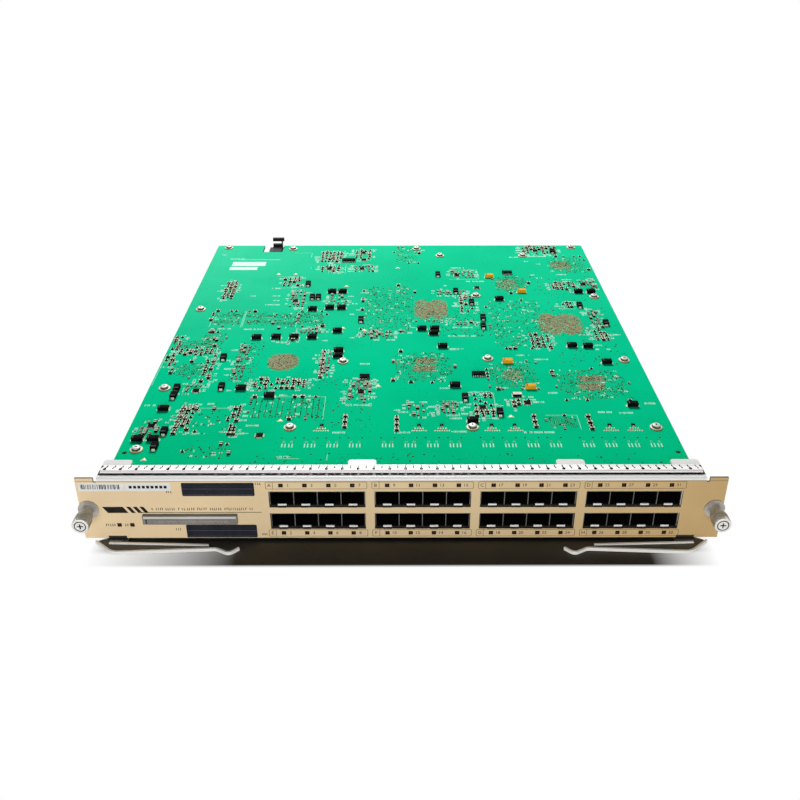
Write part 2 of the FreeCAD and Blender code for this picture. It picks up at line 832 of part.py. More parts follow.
def left_bracket():
    """Angle on the back of the panel that carries the pivot, open behind the notch."""
    x0, x1 = -pivot_x - bracket_half_width, -pivot_x + bracket_half_width
    y0 = behind(panel_thickness)
    shelf_top = bracket_bottom_z + bracket_sheet
    shelf = box(x0, x1, y0, y0 + bracket_reach, bracket_bottom_z, shelf_top)
    wall = box(x0, x1, y0, y0 + bracket_sheet, bracket_bottom_z, bracket_bottom_z + bracket_height)
    window = box(
        x0 + bracket_leg, x1 - bracket_leg, y0, y0 + bracket_sheet,
        shelf_top, panel_bottom_z + 2 * lever_notch_height,
    )
    hole = post(pivot_radius, -pivot_x, lever_pivot_depth, bracket_bottom_z, shelf_top)
    return shelf.fuse(wall).removeSplitter().cut([window, hole])


def board_screw(x, depth):
    """Flat-head screw with its washer, through the board."""
    seat = board_top_z + screw_washer
    shank = facet_post(screw_shank_radius, x, depth, board_bottom_z - screw_bite, board_top_z)
    washer = facet_post(screw_washer_radius, x, depth, board_top_z, seat)
    head = facet_post(screw_head_radius, x, depth, seat, seat + screw_head_height)
    return shank.fuse([washer, head]).removeSplitter()


def screw_holes(spots):
    """Blind holes under the board for the screws at these places."""
    radius = screw_shank_radius + screw_hole_gap
    bottom = board_bottom_z - screw_bite - screw_hole_gap
    return [facet_post(radius, x, depth, bottom, board_bottom_z) for x, depth in spots]


def side_rail(side, shares):
    x = side * side_screw_x
    front = along(shares[0]) - rail_front_margin
    rail = box(
        x - rail_width / 2, x + rail_width / 2, behind(front), behind(board_back - rail_back_gap),
        board_bottom_z - rail_height, board_bottom_z,
    )
    return rail.cut(screw_holes(rail_screws(x, shares)))


def front_bar():
    """Cross bar behind the cages, from the ports' side to the right rail."""
    left = bar_screws()[0][0] - rail_end_margin
    right = side_screw_x - rail_width / 2 - bar_end_gap
    y = behind(front_bar_depth)
    bar = box(
        left, right, y - rail_width / 2, y + rail_width / 2,
        board_bottom_z - rail_height, board_bottom_z,
    )
    return bar.cut(screw_holes(bar_screws()))


def centre_rail():
    spots = rail_screws(across(centre_rail_place), centre_rail_screws)
    x, first = spots[0]
    last = spots[-1][1]
    rail = box(
        x - rail_width / 2, x + rail_width / 2,
        behind(first - rail_end_margin), behind(last + rail_end_margin),
        board_bottom_z - rail_height, board_bottom_z,
    )
    return rail.cut(screw_holes(spots))


def backplane_housing(x, half, screw_depth, length, height):
    spacing = 2 * (half - connector_screw_margin)
    front = behind(connector_reach - length)
    housing = box(x - half, x + half, front, behind(connector_reach), board_bottom_z - height, board_bottom_z)
    return housing.cut(screw_holes([(x - spacing / 2, screw_depth), (x + spacing / 2, screw_depth)]))


def pockets(x, span, count, z0, z1):
    """Row of like pockets in the mating face of a connector."""
    pitch = span / count
    width = pitch - pocket_gap
    left = x - span / 2 + pocket_gap / 2
    y0, y1 = behind(connector_reach - pocket_depth), behind(connector_reach)
    return [box(left + i * pitch, left + i * pitch + width, y0, y1, z0, z1) for i in range(count)]


def signal_connector():
    """Long housing with two rows of contact pockets."""
    span = signal_screw_spacing
    housing = backplane_housing(signal_x, signal_half, signal_screw_depth, signal_length, signal_height)
    bottom = board_bottom_z - signal_height
    middle = board_bottom_z - signal_height / 2
    lower = pockets(signal_x, span, signal_columns, bottom + pocket_rim, middle - pocket_rim / 2)
    upper = pockets(signal_x, span, signal_columns, middle + pocket_rim / 2, board_bottom_z - pocket_rim)
    return housing.cut(lower + upper)


def power_connector():
    """Deeper housing with one row of blade pockets."""
    span = power_screw_spacing
    housing = backplane_housing(power_x, power_half, power_screw_depth, power_length, power_height)
    bottom = board_bottom_z - power_height
    blades = pockets(power_x, span, power_blades, bottom + pocket_rim, board_bottom_z - pocket_rim)
    return housing.cut(blades)


def alignment_key():
    """Moulded key in the notch: a block flush with the board and an open hook above it."""
    left = key_notch_x - key_notch_width / 2 + key_left_gap
    right = left + key_width
    front = behind(board_back - key_notch_depth + key_front_gap)
    back = behind(board_back + key_overhang)
    head_front = back - key_head_depth
    slit_bottom = board_top_z + key_slit_lift
    head_bottom = slit_bottom + key_slit
    block_low = box(left, right, front, back, board_bottom_z - key_drop, board_top_z)
    neck = box(left, right, head_front, back, board_top_z, slit_bottom)
    side = box(right - key_side_wall, right, head_front, back, slit_bottom, head_bottom)
    head_top = head_bottom + key_head_height
    head = box(left, right + key_head_overhang, head_front, back, head_bottom, head_top)
    foot = box(left - key_foot, right + key_foot, front, back, board_bottom_z - key_foot, board_bottom_z)
    return block_low.fuse([neck, side, head, foot]).removeSplitter()


def chip(spec):
    """Ball-grid package hanging from the board: a substrate with a smaller lid."""
    x, depth = places([spec["chip"]])[0]
    size = spec["size"]
    split = chip_face_z + lid_height
    substrate = block(x, depth, size, size, split, board_bottom_z)
    lid = block(x, depth, size - 2 * lid_margin, size - 2 * lid_margin, chip_face_z, split)
    return substrate.fuse(lid).removeSplitter()


def heatsink(spec):
    """Extruded sink with fins across the card, standing on the surface under the card."""
    x, depth = sink_place(spec)
    width, length = spec["plan"]
    base_bottom = chip_face_z - sink_base
    base = block(x, depth, width, length, base_bottom, chip_face_z)
    count = int((length - fin_thickness) / fin_pitch) + 1
    first = depth - (count - 1) / 2 * fin_pitch
    fins = [block(x, first + i * fin_pitch, width, fin_thickness, 0, base_bottom) for i in range(count)]
    return base.fuse(fins).removeSplitter()


def fabric_sink():
    """The sink of the fabric chip also has a boss up to the board for its screw."""
    spec = cooled_chips["heatsink_fabric"]
    x, depth = fabric_sink_screw()
    boss = block(x, depth, rail_width, rail_width, chip_face_z, board_bottom_z)
    sink = heatsink(spec).fuse(boss).removeSplitter()
    return sink.cut(screw_holes([(x, depth)]))


def choke(x, depth):
    """Shielded inductor, a square block with cut corners."""
    body = block(x, depth, choke_size, choke_size, board_bottom_z - choke_height, board_bottom_z)
    upright = [e for e in body.Edges if e.BoundBox.ZLength > choke_height / 2]
    return body.makeChamfer(choke_chamfer, upright)


def hanging_blocks(shares, plan, height):
    return [block(*spot, *plan, board_bottom_z - height, board_bottom_z) for spot in places(shares)]


def standing_blocks(shares, plan, height):
    return [block(*spot, *plan, board_top_z, board_top_z + height) for spot in places(shares)]


os.makedirs("parts", exist_ok=True)

save("main_board", main_board())
save("front_panel", front_panel())
save("contact_strip", contact_strip())
for index, letter in enumerate(groups):
    save("port_cage_" + letter, cage_cover(index))
    save("port_partitions_" + letter, *cage_partitions(index))
    save("port_connectors_" + letter, *port_connectors(index))
save("light_pipes_upper", *[upper_light_pipes(index) for index in range(len(groups))])
save("light_pipes_lower", *[lower_light_pipes(index) for index in range(len(groups))])
save("status_light_pipes", status_light_pipes())
save("label_tray", label_tray())
save("label_tray_guide", tray_guide())

for name, side in (("left", -1), ("right", 1)):
    save("captive_screw_" + name, captive_screw(side))
    save("ferrule_" + name, ferrule(side))
    save("retainer_" + name, retainer(side))
    save("captive_spring_" + name, captive_spring(side))

for name, piece in (
    ("ejector_lever", left_lever()),
    ("lever_pivot", left_pivot()),
    ("lever_bracket", left_bracket()),
):
    save(name + "_left", piece)
    save(name + "_right", mirrored(piece))

save("board_screws", *[board_screw(x, depth) for x, depth in board_screw_places()])
save("stiffener_left", side_rail(-1, left_rail_screws))
save("stiffener_right", side_rail(1, right_rail_screws))
save("stiffener_front", front_bar())
save("stiffener_centre", centre_rail())
save("signal_connector", signal_connector())
save("power_connector", power_connector())
save("alignment_key", alignment_key())

save("cooled_chips", *[chip(spec) for spec in cooled_chips.values()])
for name, spec in cooled_chips.items():
    save(name, fabric_sink() if name == "heatsink_fabric" else heatsink(spec))
save("bare_chips", *[
    block(across(x), along(depth), size, size, board_bottom_z - bare_chip_height, board_bottom_z)
    for x, depth, size in bare_chips
])
save("memory_chips", *hanging_blocks(memory_places, memory_plan, memory_height))
save("power_bricks", *hanging_blocks(brick_places, brick_plan, brick_height))
save("bulk_capacitors", *[
    facet_post(can_radius, x, depth, board_bottom_z - can_height, board_bottom_z)
    for x, depth in places(can_places)
])
save("chokes", *[choke(x, depth) for x, depth in places(choke_places)])
save(
    "moulded_capacitors",
    *standing_blocks(moulded_across, moulded_plan, moulded_height),
    *standing_blocks(moulded_along, moulded_plan[::-1], moulded_height),
)
save("tantalum_capacitors", *standing_blocks(tantalum_places, moulded_plan, moulded_height))
save("driver_chips", *[
    block(across(x), along(depth), width, driver_length, board_top_z, board_top_z + driver_height)
    for x, depth, width in driver_places
])
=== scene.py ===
import math
import random

import bpy
from mathutils import Matrix, Vector


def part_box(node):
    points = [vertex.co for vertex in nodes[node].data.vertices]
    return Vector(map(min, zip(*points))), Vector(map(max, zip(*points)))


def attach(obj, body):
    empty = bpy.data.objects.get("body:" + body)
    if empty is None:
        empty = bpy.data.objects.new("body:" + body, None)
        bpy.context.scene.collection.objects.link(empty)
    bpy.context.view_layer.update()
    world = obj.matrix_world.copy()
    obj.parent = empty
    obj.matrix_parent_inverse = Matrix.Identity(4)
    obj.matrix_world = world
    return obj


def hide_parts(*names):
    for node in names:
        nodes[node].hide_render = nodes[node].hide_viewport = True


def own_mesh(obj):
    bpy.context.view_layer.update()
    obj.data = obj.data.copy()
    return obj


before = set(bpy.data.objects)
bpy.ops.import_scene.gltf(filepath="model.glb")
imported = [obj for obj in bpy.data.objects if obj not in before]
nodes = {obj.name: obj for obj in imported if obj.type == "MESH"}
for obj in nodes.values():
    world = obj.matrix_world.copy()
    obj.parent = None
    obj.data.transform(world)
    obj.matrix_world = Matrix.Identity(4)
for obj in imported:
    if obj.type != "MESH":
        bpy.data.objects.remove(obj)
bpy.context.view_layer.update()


# Main board: a thick laminate of many layers under green solder mask, routed to outline so
# that its glass-fibre edge shows bare. It is screwed down on the rails below it.
mm = 0.001
quarter = math.pi / 2
face_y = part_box("front_panel")[0].y
panel_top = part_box("front_panel")[1].z
panel_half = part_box("front_panel")[1].x
board_bottom, board_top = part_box("main_board")[0].z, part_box("main_board")[1].z


def behind(depth):
    """Y of a plane this many millimetres behind the face of the panel."""
    return face_y + depth * mm


def add_node(tree, kind, inputs=None, **settings):
    """New shader node; inputs are values to set or sockets to link, by socket name."""
    made = tree.nodes.new("ShaderNode" + kind)
    for key, value in settings.items():
        setattr(made, key, value)
    for key, value in (inputs or {}).items():
        if isinstance(value, bpy.types.NodeSocket):
            tree.links.new(value, made.inputs[key])
        else:
            made.inputs[key].default_value = value
    return made


def math_node(tree, operation, first, second=0.0):
    return add_node(tree, "Math", {0: first, 1: second}, operation=operation).outputs[0]


def times(tree, first, second):
    return math_node(tree, "MULTIPLY", first, second)


def larger(tree, first, second):
    return math_node(tree, "MAXIMUM", first, second)


def less(tree, first, second):
    return math_node(tree, "SUBTRACT", first, second)


def unsigned(tree, value):
    return math_node(tree, "ABSOLUTE", value)


def axes(tree, vector):
    """X, Y and Z of a vector."""
    return add_node(tree, "SeparateXYZ", {0: vector}).outputs


def normal_axes(tree):
    """X, Y and Z of the direction that a surface faces."""
    return axes(tree, add_node(tree, "NewGeometry").outputs["Normal"])


def seen_rays(tree):
    """1 for the rays that show a surface to the camera, straight, mirrored or through glass."""
    rays = add_node(tree, "LightPath").outputs
    seen = larger(tree, rays["Is Camera Ray"], rays["Is Glossy Ray"])
    return larger(tree, seen, rays["Is Transmission Ray"])


def blend_colours(tree, mask, first, second, kind="MIX"):
    made = add_node(tree, "Mix", {"Factor": mask}, data_type="RGBA", blend_type=kind)
    for key, value in ((6, first), (7, second)):
        if isinstance(value, bpy.types.NodeSocket):
            tree.links.new(value, made.inputs[key])
        else:
            made.inputs[key].default_value = (*value, 1)
    return made.outputs[2]


def limits(tree, value, low, high, out_low=0.0, out_high=1.0):
    """Value mapped from low..high to the output span, clamped."""
    return add_node(tree, "MapRange", {
        "Value": value, "From Min": low, "From Max": high, "To Min": out_low, "To Max": out_high,
    }).outputs[0]


def new_material(name):
    made = bpy.data.materials.new(name)
    made.use_nodes = True
    tree = made.node_tree
    shader = tree.nodes["Principled BSDF"]
    place = add_node(tree, "TexCoord").outputs["Object"]
    return made, tree, shader, place


def new_effect(name, inputs, outputs):
    """Shared node group; inputs and outputs are (label, socket kind, default) and (label, kind)."""
    group = bpy.data.node_groups.new(name, "ShaderNodeTree")
    for label, kind, value in inputs:
        socket = group.interface.new_socket(label, in_out="INPUT", socket_type="NodeSocket" + kind)
        if value is not None:
            socket.default_value = value
    for label, kind in outputs:
        group.interface.new_socket(label, in_out="OUTPUT", socket_type="NodeSocket" + kind)
    entry = group.nodes.new("NodeGroupInput")
    leave = group.nodes.new("NodeGroupOutput")
    return group, entry.outputs, leave.inputs


surface_tone, given, result = new_effect(
    "surface_tone",
    (
        ("Place", "Vector", None), ("Colour", "Color", (0.5, 0.5, 0.5, 1)),
        ("Patch Colour", "Color", (0.4, 0.4, 0.4, 1)),
        ("Patch Scale", "Float", 40.0), ("Grain Scale", "Float", 900.0),
        ("Roughness", "Float", 0.4), ("Roughness Spread", "Float", 0.1),
    ),
    (("Colour", "Color"), ("Roughness", "Float"), ("Height", "Float")),
)
patches = add_node(surface_tone, "TexNoise", {"Vector": given["Place"], "Scale": given["Patch Scale"], "Detail": 4.0})
grains = add_node(surface_tone, "TexNoise", {"Vector": given["Place"], "Scale": given["Grain Scale"], "Detail": 2.0})
patch_mask = limits(surface_tone, patches.outputs[0], 0.38, 0.64)
surface_tone.links.new(
    blend_colours(surface_tone, patch_mask, given["Colour"], given["Patch Colour"]), result["Colour"]
)
spread = times(surface_tone, given["Roughness Spread"], grains.outputs[0])
surface_tone.links.new(math_node(surface_tone, "ADD", given["Roughness"], spread), result["Roughness"])
surface_tone.links.new(grains.outputs[0], result["Height"])


def toned(tree, place, colour, patch, scale, grain, roughness, spread, stretch=(1, 1, 1)):
    """The surface_tone effect placed in a material, on coordinates stretched for a brushed look."""
    if stretch != (1, 1, 1):
        place = add_node(tree, "Mapping", {"Vector": place, "Scale": stretch}).outputs[0]
    tone = tree.nodes.new("ShaderNodeGroup")
    tone.node_tree = surface_tone
    tree.links.new(place, tone.inputs["Place"])
    for key, value in (
        ("Colour", (*colour, 1)), ("Patch Colour", (*patch, 1)), ("Patch Scale", scale), ("Grain Scale", grain),
        ("Roughness", roughness), ("Roughness Spread", spread),
    ):
        tone.inputs[key].default_value = value
    return tone.outputs


def rough_bump(tree, shader, height, depth, strength=0.4):
    bump = add_node(tree, "Bump", {"Height": height, "Distance": depth * mm, "Strength": strength})
    tree.links.new(bump.outputs[0], shader.inputs["Normal"])


def wire(tree, shader, colour, tone, bump, specular=0.5, metallic=0.0):
    """Gives the shader a colour and the gloss and grain of a tone."""
    tree.links.new(colour, shader.inputs["Base Color"])
    tree.links.new(tone["Roughness"], shader.inputs["Roughness"])
    shader.inputs["Metallic"].default_value = metallic
    shader.inputs["Specular IOR Level"].default_value = specular
    rough_bump(tree, shader, tone["Height"], bump)


def finish(name, colour, patch, roughness=0.4, spread=0.1, metallic=0.0, scale=60.0, grain=1500.0,
           bump=0.02, specular=0.5, stretch=(1, 1, 1)):
    """Plain procedural finish: two tones in patches, a fine grain in gloss and in height."""
    made, tree, shader, place = new_material(name)
    tone = toned(tree, place, colour, patch, scale, grain, roughness, spread, stretch)
    wire(tree, shader, tone["Colour"], tone, bump, specular, metallic)
    return made


def dress(material, *names):
    """Gives CAD nodes their finish."""
    for name in names:
        slots = nodes[name].data.materials
        slots.clear()
        slots.append(material)


mask_green, tree, shader, place = new_material("solder_mask_green")
spot = axes(tree, place)
# The green is painted lighter towards the back of the board, and lighter still at the back left: painted light from
# the lamp behind the card.
near = limits(tree, spot[1], behind(10), behind(150))
far = limits(tree, spot[1], behind(150), behind(400))
painted_light_rear_left = times(tree, far, limits(tree, spot[0], 0.02, -0.17))
green_with_painted_light = blend_colours(tree, near, (0.001, 0.66, 0.285), (0.002, 0.70, 0.345))
green_with_painted_light = blend_colours(tree, far, green_with_painted_light, (0.012, 0.66, 0.33))
green_with_painted_light = blend_colours(tree, painted_light_rear_left, green_with_painted_light, (0.055, 0.70, 0.39))
tone = toned(tree, place, (1.0, 1.0, 1.0), (0.90, 0.93, 0.93), 11.0, 1400.0, 0.6, 0.16)
mask_colour = blend_colours(tree, 1.0, green_with_painted_light, tone["Colour"], "MULTIPLY")
track_noise = add_node(tree, "TexNoise", {"Vector": place, "Scale": 24.0, "Detail": 1.0}).outputs[0]
track_area = limits(tree, track_noise, 0.5, 0.56)
tracks = add_node(
    tree, "TexWave", {"Vector": place, "Scale": 120.0, "Distortion": 4.0, "Detail": 0.0, "Detail Scale": 0.3},
    wave_type="BANDS", bands_direction="Y",
).outputs["Fac"]
track_lines = times(tree, limits(tree, tracks, 0.62, 0.75), track_area)
mask_colour = blend_colours(tree, times(tree, track_lines, 0.14), mask_colour, (0.0, 0.36, 0.16))
small_vias = add_node(tree, "TexVoronoi", {"Vector": place, "Scale": 300.0}).outputs["Distance"]
via_zone = limits(tree, add_node(tree, "TexNoise", {"Vector": place, "Scale": 30.0}).outputs[0], 0.47, 0.6)
via_dots = times(tree, limits(tree, small_vias, 0.17, 0.11), via_zone)
mask_colour = blend_colours(tree, times(tree, via_dots, 0.75), mask_colour, (0.01, 0.16, 0.06))
facing = normal_axes(tree)[2]
edge_mask = limits(tree, unsigned(tree, facing), 0.7, 0.3)
layers = add_node(tree, "TexWave", {"Vector": place, "Scale": 160.0, "Distortion": 1.0}, bands_direction="Z")
edge_colour = blend_colours(tree, layers.outputs["Fac"], (0.10, 0.13, 0.04), (0.22, 0.26, 0.10))
tree.links.new(blend_colours(tree, edge_mask, mask_colour, edge_colour), shader.inputs["Base Color"])
tree.links.new(tone["Roughness"], shader.inputs["Roughness"])
shader.inputs["Specular IOR Level"].default_value = 0.0
rough_bump(tree, shader, track_lines, 0.03, 0.5)
dress(mask_green, "main_board")


# Via fields: the plated holes under each large chip, which come out on this side as dense
# patches of small gold rings on bare laminate, some in two lobes or stripes.
def deselect():
    bpy.ops.object.select_all(action="DESELECT")


def activate(piece):
    deselect()
    piece.select_set(True)
    bpy.context.view_layer.objects.active = piece


def apply_all(piece):
    """Puts the piece's place into its mesh and applies its modifiers."""
    activate(piece)
    for modifier in list(piece.modifiers):
        bpy.ops.object.modifier_apply(modifier=modifier.name)
    bpy.ops.object.transform_apply(location=True, rotation=True, scale=True)
    return piece


def slab(name, low, high, bevel=0.0, segments=1):
    """Block between two corners, in millimetres of the frame, with its edges bevelled."""
    deselect()
    bpy.ops.mesh.primitive_cube_add(size=1, location=[(a + b) / 2 * mm for a, b in zip(low, high)])
    piece = bpy.context.object
    piece.name = name
    piece.scale = [(b - a) * mm for a, b in zip(low, high)]
    apply_all(piece)
    if bevel > 0:
        bpy.ops.object.mode_set(mode="EDIT")
        bpy.ops.mesh.select_all(action="SELECT")
        bpy.ops.mesh.bevel(offset=bevel * mm, segments=segments, affect="EDGES")
        bpy.ops.object.mode_set(mode="OBJECT")
    return piece


def drum(name, radius, depth, centre, sides=32, axis="Z"):
    """Round bar on a centre, in millimetres, along Z or Y."""
    deselect()
    turn = (quarter, 0, 0) if axis == "Y" else (0, 0, 0)
    bpy.ops.mesh.primitive_cylinder_add(
        vertices=sides, radius=radius * mm, depth=depth * mm, location=[c * mm for c in centre], rotation=turn
    )
    piece = bpy.context.object
    piece.name = name
    return apply_all(piece)


def pick(piece, wanted):
    """Edit mode with the faces selected that answer to wanted(centre in mm, normal)."""
    activate(piece)
    mesh = piece.data
    mesh.vertices.foreach_set("select", [False] * len(mesh.vertices))
    mesh.edges.foreach_set("select", [False] * len(mesh.edges))
    mesh.polygons.foreach_set("select", [wanted(p.center / mm, p.normal) for p in mesh.polygons])
    bpy.ops.object.mode_set(mode="EDIT")
    bpy.ops.mesh.select_mode(type="FACE")


def leave_edit():
    bpy.ops.object.mode_set(mode="OBJECT")


def up(c, n):
    return n.z > 0.9


def down(c, n):
    return n.z < -0.9


def inset_faces(piece, wanted, step, rise=0.0):
    """Insets the wanted faces by a step and lifts them, in millimetres."""
    pick(piece, wanted)
    bpy.ops.mesh.inset(thickness=step * mm)
    bpy.ops.transform.translate(value=(0, 0, rise * mm))
    leave_edit()


def bevel_faces(piece, wanted, offset, segments):
    """Bevels the edges of the wanted faces."""
    pick(piece, wanted)
    bpy.ops.mesh.bevel(offset=offset * mm, segments=segments, affect="EDGES")
    leave_edit()


def delete_faces(piece, wanted):
    pick(piece, wanted)
    bpy.ops.mesh.delete(type="FACE")
    leave_edit()


def extrude(x=0.0, y=0.0, z=0.0):
    """Extrudes the faces selected in edit mode, in millimetres."""
    bpy.ops.mesh.extrude_region_move(TRANSFORM_OT_translate={"value": (x * mm, y * mm, z * mm)})


def array(piece, count, step):
    """Modifier that repeats the piece at a step in millimetres."""
    row = piece.modifiers.new("row", "ARRAY")
    row.count = count
    row.use_relative_offset = False
    row.use_constant_offset = True
    row.constant_offset_displace = [s * mm for s in step]


def paint(piece, material, wanted=None):
    """Adds a finish to the piece, on all its faces or on those that answer to wanted."""
    piece.data.materials.append(material)
    index = len(piece.data.materials) - 1
    for p in piece.data.polygons:
        if wanted is None or wanted(p.center / mm, p.normal):
            p.material_index = index
    return piece


def join(name, pieces):
    deselect()
    for piece in pieces:
        piece.select_set(True)
    bpy.context.view_layer.objects.active = pieces[0]
    bpy.ops.object.join()
    pieces[0].name = name
    return pieces[0]


def repeat(name, master, places):
    """Copies of a finished master at (x, y, z in mm, turn), each with its own mesh, joined."""
    made = []
    for x, y, z, turn in places:
        copy = master.copy()
        copy.data = master.data.copy()
        copy.data.transform(Matrix.Translation((x * mm, y * mm, z * mm)) @ Matrix.Rotation(turn, 4, "Z"))
        bpy.context.scene.collection.objects.link(copy)
        made.append(copy)
    bpy.data.objects.remove(master)
    return join(name, made)


def smooth(piece, degrees=40):
    activate(piece)
    bpy.ops.object.shade_smooth_by_angle(angle=math.radians(degrees))
    return piece


def mount(piece, body, slot, *replaced):
    """The piece moves with a body and may stand for CAD nodes; slot is not used."""
    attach(piece, body)
    if replaced:
        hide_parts(*replaced)
    return piece


def on_card(piece, slot="circuit_board", *replaced):
    return mount(piece, "card", slot, *replaced)


via_gold = finish("via_gold", (0.56, 0.46, 0.28), (0.66, 0.56, 0.36), 0.5, 0.2, 0.0, 90.0, specular=0.1)
via_tented = finish("via_tented", (0.03, 0.17, 0.07), (0.20, 0.21, 0.08), 0.5, 0.2, 0.0, 160.0, specular=0.05)
# Near-black painted shade where holes are, on the hearts of vias, rings and dots.
via_hole_shade = finish("via_hole_shade", (0.006, 0.010, 0.006), (0.02, 0.03, 0.015), 0.7, 0.1, specular=0.0)
bare_laminate = finish("bare_laminate", (0.27, 0.27, 0.14), (0.18, 0.28, 0.13), 0.6, 0.1, 0.0, 140.0, specular=0.0)
via_pitch = 1.27
top_mm = board_top / mm
front_mm = face_y / mm
draw = random.Random(7)


def on_top(x, depth, turn=0.0):
    """Spot on the upper face of the board, in millimetres, with a turn."""
    return x, front_mm + depth, top_mm, turn


def all_over(u, v):
    return True


def round_field(u, v):
    return u * u + v * v < 1.15


def two_lobes(u, v):
    """Two rounded blobs side by side."""
    return ((abs(u) - 0.47) / 0.55) ** 2 + abs(v) ** 3 < 1.08


def two_stripes(u, v):
    return 0.12 < abs(v) and abs(u - 0.1 * v) < 1.0 - 0.3 * draw.random()


def footprint(u, v):
    """Rows of lands under a small chip that is left off."""
    return 0.2 < abs(v) < 0.75 or draw.random() < 0.25


def slant_columns(u, v):
    return abs((u * 6.0) % 1.0 - 0.5) < 0.16


def thinned(inside):
    """The same field with a rim that runs out among the holes around it."""
    def field(u, v):
        swell = draw.uniform(0.92, 1.25)
        return inside(u * swell, v * swell)
    return field


def via_patch(name, x0, x1, d0, d1, inside, density, dark_share, plating):
    """Plated holes on a grid: a ring with a heart painted near black, as painted shade of the hole, on each place that
    the field takes in.
    """
    columns, rows = int((x1 - x0) / via_pitch), int((d1 - d0) / via_pitch)
    left, near = (x0 + x1 - (columns - 1) * via_pitch) / 2, front_mm + (d0 + d1 - (rows - 1) * via_pitch) / 2
    kept, dark = set(), set()
    for i in range(columns):
        for j in range(rows):
            if inside(2 * (i + 0.5) / columns - 1, 2 * (j + 0.5) / rows - 1) and draw.random() < density:
                kept.add((i, j))
                if draw.random() < dark_share:
                    dark.add((i, j))

    def cell(c):
        return round((c.x - left) / via_pitch), round((c.y - near) / via_pitch)

    ring = drum(name, 0.46, 0.06, (left, near, top_mm + 0.03), 6)
    delete_faces(ring, down)
    inset_faces(ring, up, 0.2)
    array(ring, columns, (via_pitch, 0, 0))
    array(ring, rows, (0, via_pitch, 0))
    apply_all(ring)
    delete_faces(ring, lambda c, n: cell(c) not in kept)
    paint(ring, plating)
    # Hearts painted near black as painted shade of the holes; rings of the dark share get the same near black all
    # over.
    paint(ring, via_hole_shade, lambda c, n: n.z > 0.9 and (cell(c) in dark or heart(c, left, near)))
    return ring


def heart(c, left, near):
    """True at the middle of a place of the grid."""
    off_x = (c.x - left) / via_pitch - round((c.x - left) / via_pitch)
    off_y = (c.y - near) / via_pitch - round((c.y - near) / via_pitch)
    return math.hypot(off_x, off_y) < 0.05


via_fields = (
    ("a", -87.2, 156.2, 23.7, 27.9, round_field, 0.97), ("b", 25.5, 253.8, 28.0, 41.5, two_lobes, 0.86),
    ("c", 128.3, 223.3, 35.5, 42.6, two_lobes, 0.86), ("d", 17.5, 151.0, 19.7, 22.7, two_stripes, 0.9),
    ("e", 135.5, 122.5, 22.3, 21.0, two_stripes, 0.9), ("f", 148.5, 355.3, 20.0, 18.0, round_field, 0.7),
    ("g", 94.5, 308.7, 18.8, 26.0, round_field, 0.45), ("h", 80.9, 135.7, 15.0, 20.0, round_field, 0.4),
)
for letter, x, depth, width, length, inside, density in via_fields:
    box = (x - width / 2, x + width / 2, depth - length / 2, depth + length / 2)
    inside = thinned(inside)
    field = via_patch("via_field_" + letter, *box, inside, density, 0.14, via_gold)
    on_card(field)
    deselect()
    bpy.ops.mesh.primitive_grid_add(
        x_subdivisions=24, y_subdivisions=24, size=1, location=(x * mm, behind(depth), board_top + 0.005 * mm)
    )
    ground = bpy.context.object
    ground.name = "via_ground_" + letter
    ground.scale = (width * mm, length * mm, 1)
    apply_all(ground)
    pick(ground, lambda c, n: not inside((c.x - x) / width * 2, (c.y - front_mm - depth) / length * 2)
         or draw.random() > density)
    bpy.ops.mesh.delete(type="FACE")
    bpy.ops.mesh.select_all(action="SELECT")
    extrude(z=0.015)
    leave_edit()
    paint(ground, bare_laminate)
    on_card(ground)

scattered = (
    (-30, 11, 211, 304, all_over, 0.2, 0.4), (73, 116, 180, 271, all_over, 0.2, 0.4),
    (-152, -129, 221, 248, footprint, 0.7, 0.3), (-126, -103, 221, 247, footprint, 0.7, 0.3),
    (-101, -85, 217, 247, footprint, 0.6, 0.3), (-83, -62, 221, 247, footprint, 0.7, 0.3),
    (-4, 17, 362, 402, all_over, 0.3, 0.2), (-154, -137, 168, 207, all_over, 0.4, 0.3),
    (84, 112, 289, 329, round_field, 0.5, 0.3), (137, 171, 336, 376, round_field, 0.45, 0.3),
    (-175, -144, 178, 194, all_over, 0.5, 0.3), (-165, -140, 132, 155, round_field, 0.5, 0.3),
    (-139, -116, 58, 84, slant_columns, 0.85, 0.3), (-135, -109, 23, 39, slant_columns, 0.8, 0.3),
    (-101, -54, 74, 101, slant_columns, 0.95, 0.35), (97, 116, 61, 75, all_over, 0.7, 0.2),
    (-4, 38, 125, 172, round_field, 0.35, 0.3), (111, 160, 99, 143, round_field, 0.35, 0.3),
    (64, 98, 115, 155, round_field, 0.45, 0.3), (-124, -104, 124, 190, all_over, 0.12, 0.5),
    (-100, 170, 17, 30, all_over, 0.03, 0.6), (20, 72, 200, 250, all_over, 0.12, 0.4),
    (-60, -20, 60, 130, all_over, 0.06, 0.4), (116, 170, 150, 330, all_over, 0.04, 0.4),
)
patches = [via_patch("via_scatter", *patch, via_tented) for patch in scattered]
dense_fields = [patch[:4] for patch in scattered if patch[5] > 0.15]
half = len(patches) // 2
on_card(join("via_scatter_a", patches[:half]))
on_card(join("via_scatter_b", patches[half:]))


# Chip capacitors and resistors: ceramic blocks a millimetre or two long with tinned ends,
# soldered flat on their lands in close-packed groups around the large chips.
tin = finish("solder_tin", (0.80, 0.75, 0.58), (0.92, 0.89, 0.76), 0.4, 0.25, 0.0, 500.0, specular=0.2)
ceramic_tan = finish("ceramic_tan", (0.27, 0.19, 0.10), (0.20, 0.13, 0.06), 0.5, 0.15, 0.0, 400.0, specular=0.1)
ceramic_khaki = finish("ceramic_khaki", (0.13, 0.14, 0.06), (0.24, 0.23, 0.11), 0.5, 0.15, 0.0, 400.0, specular=0.1)
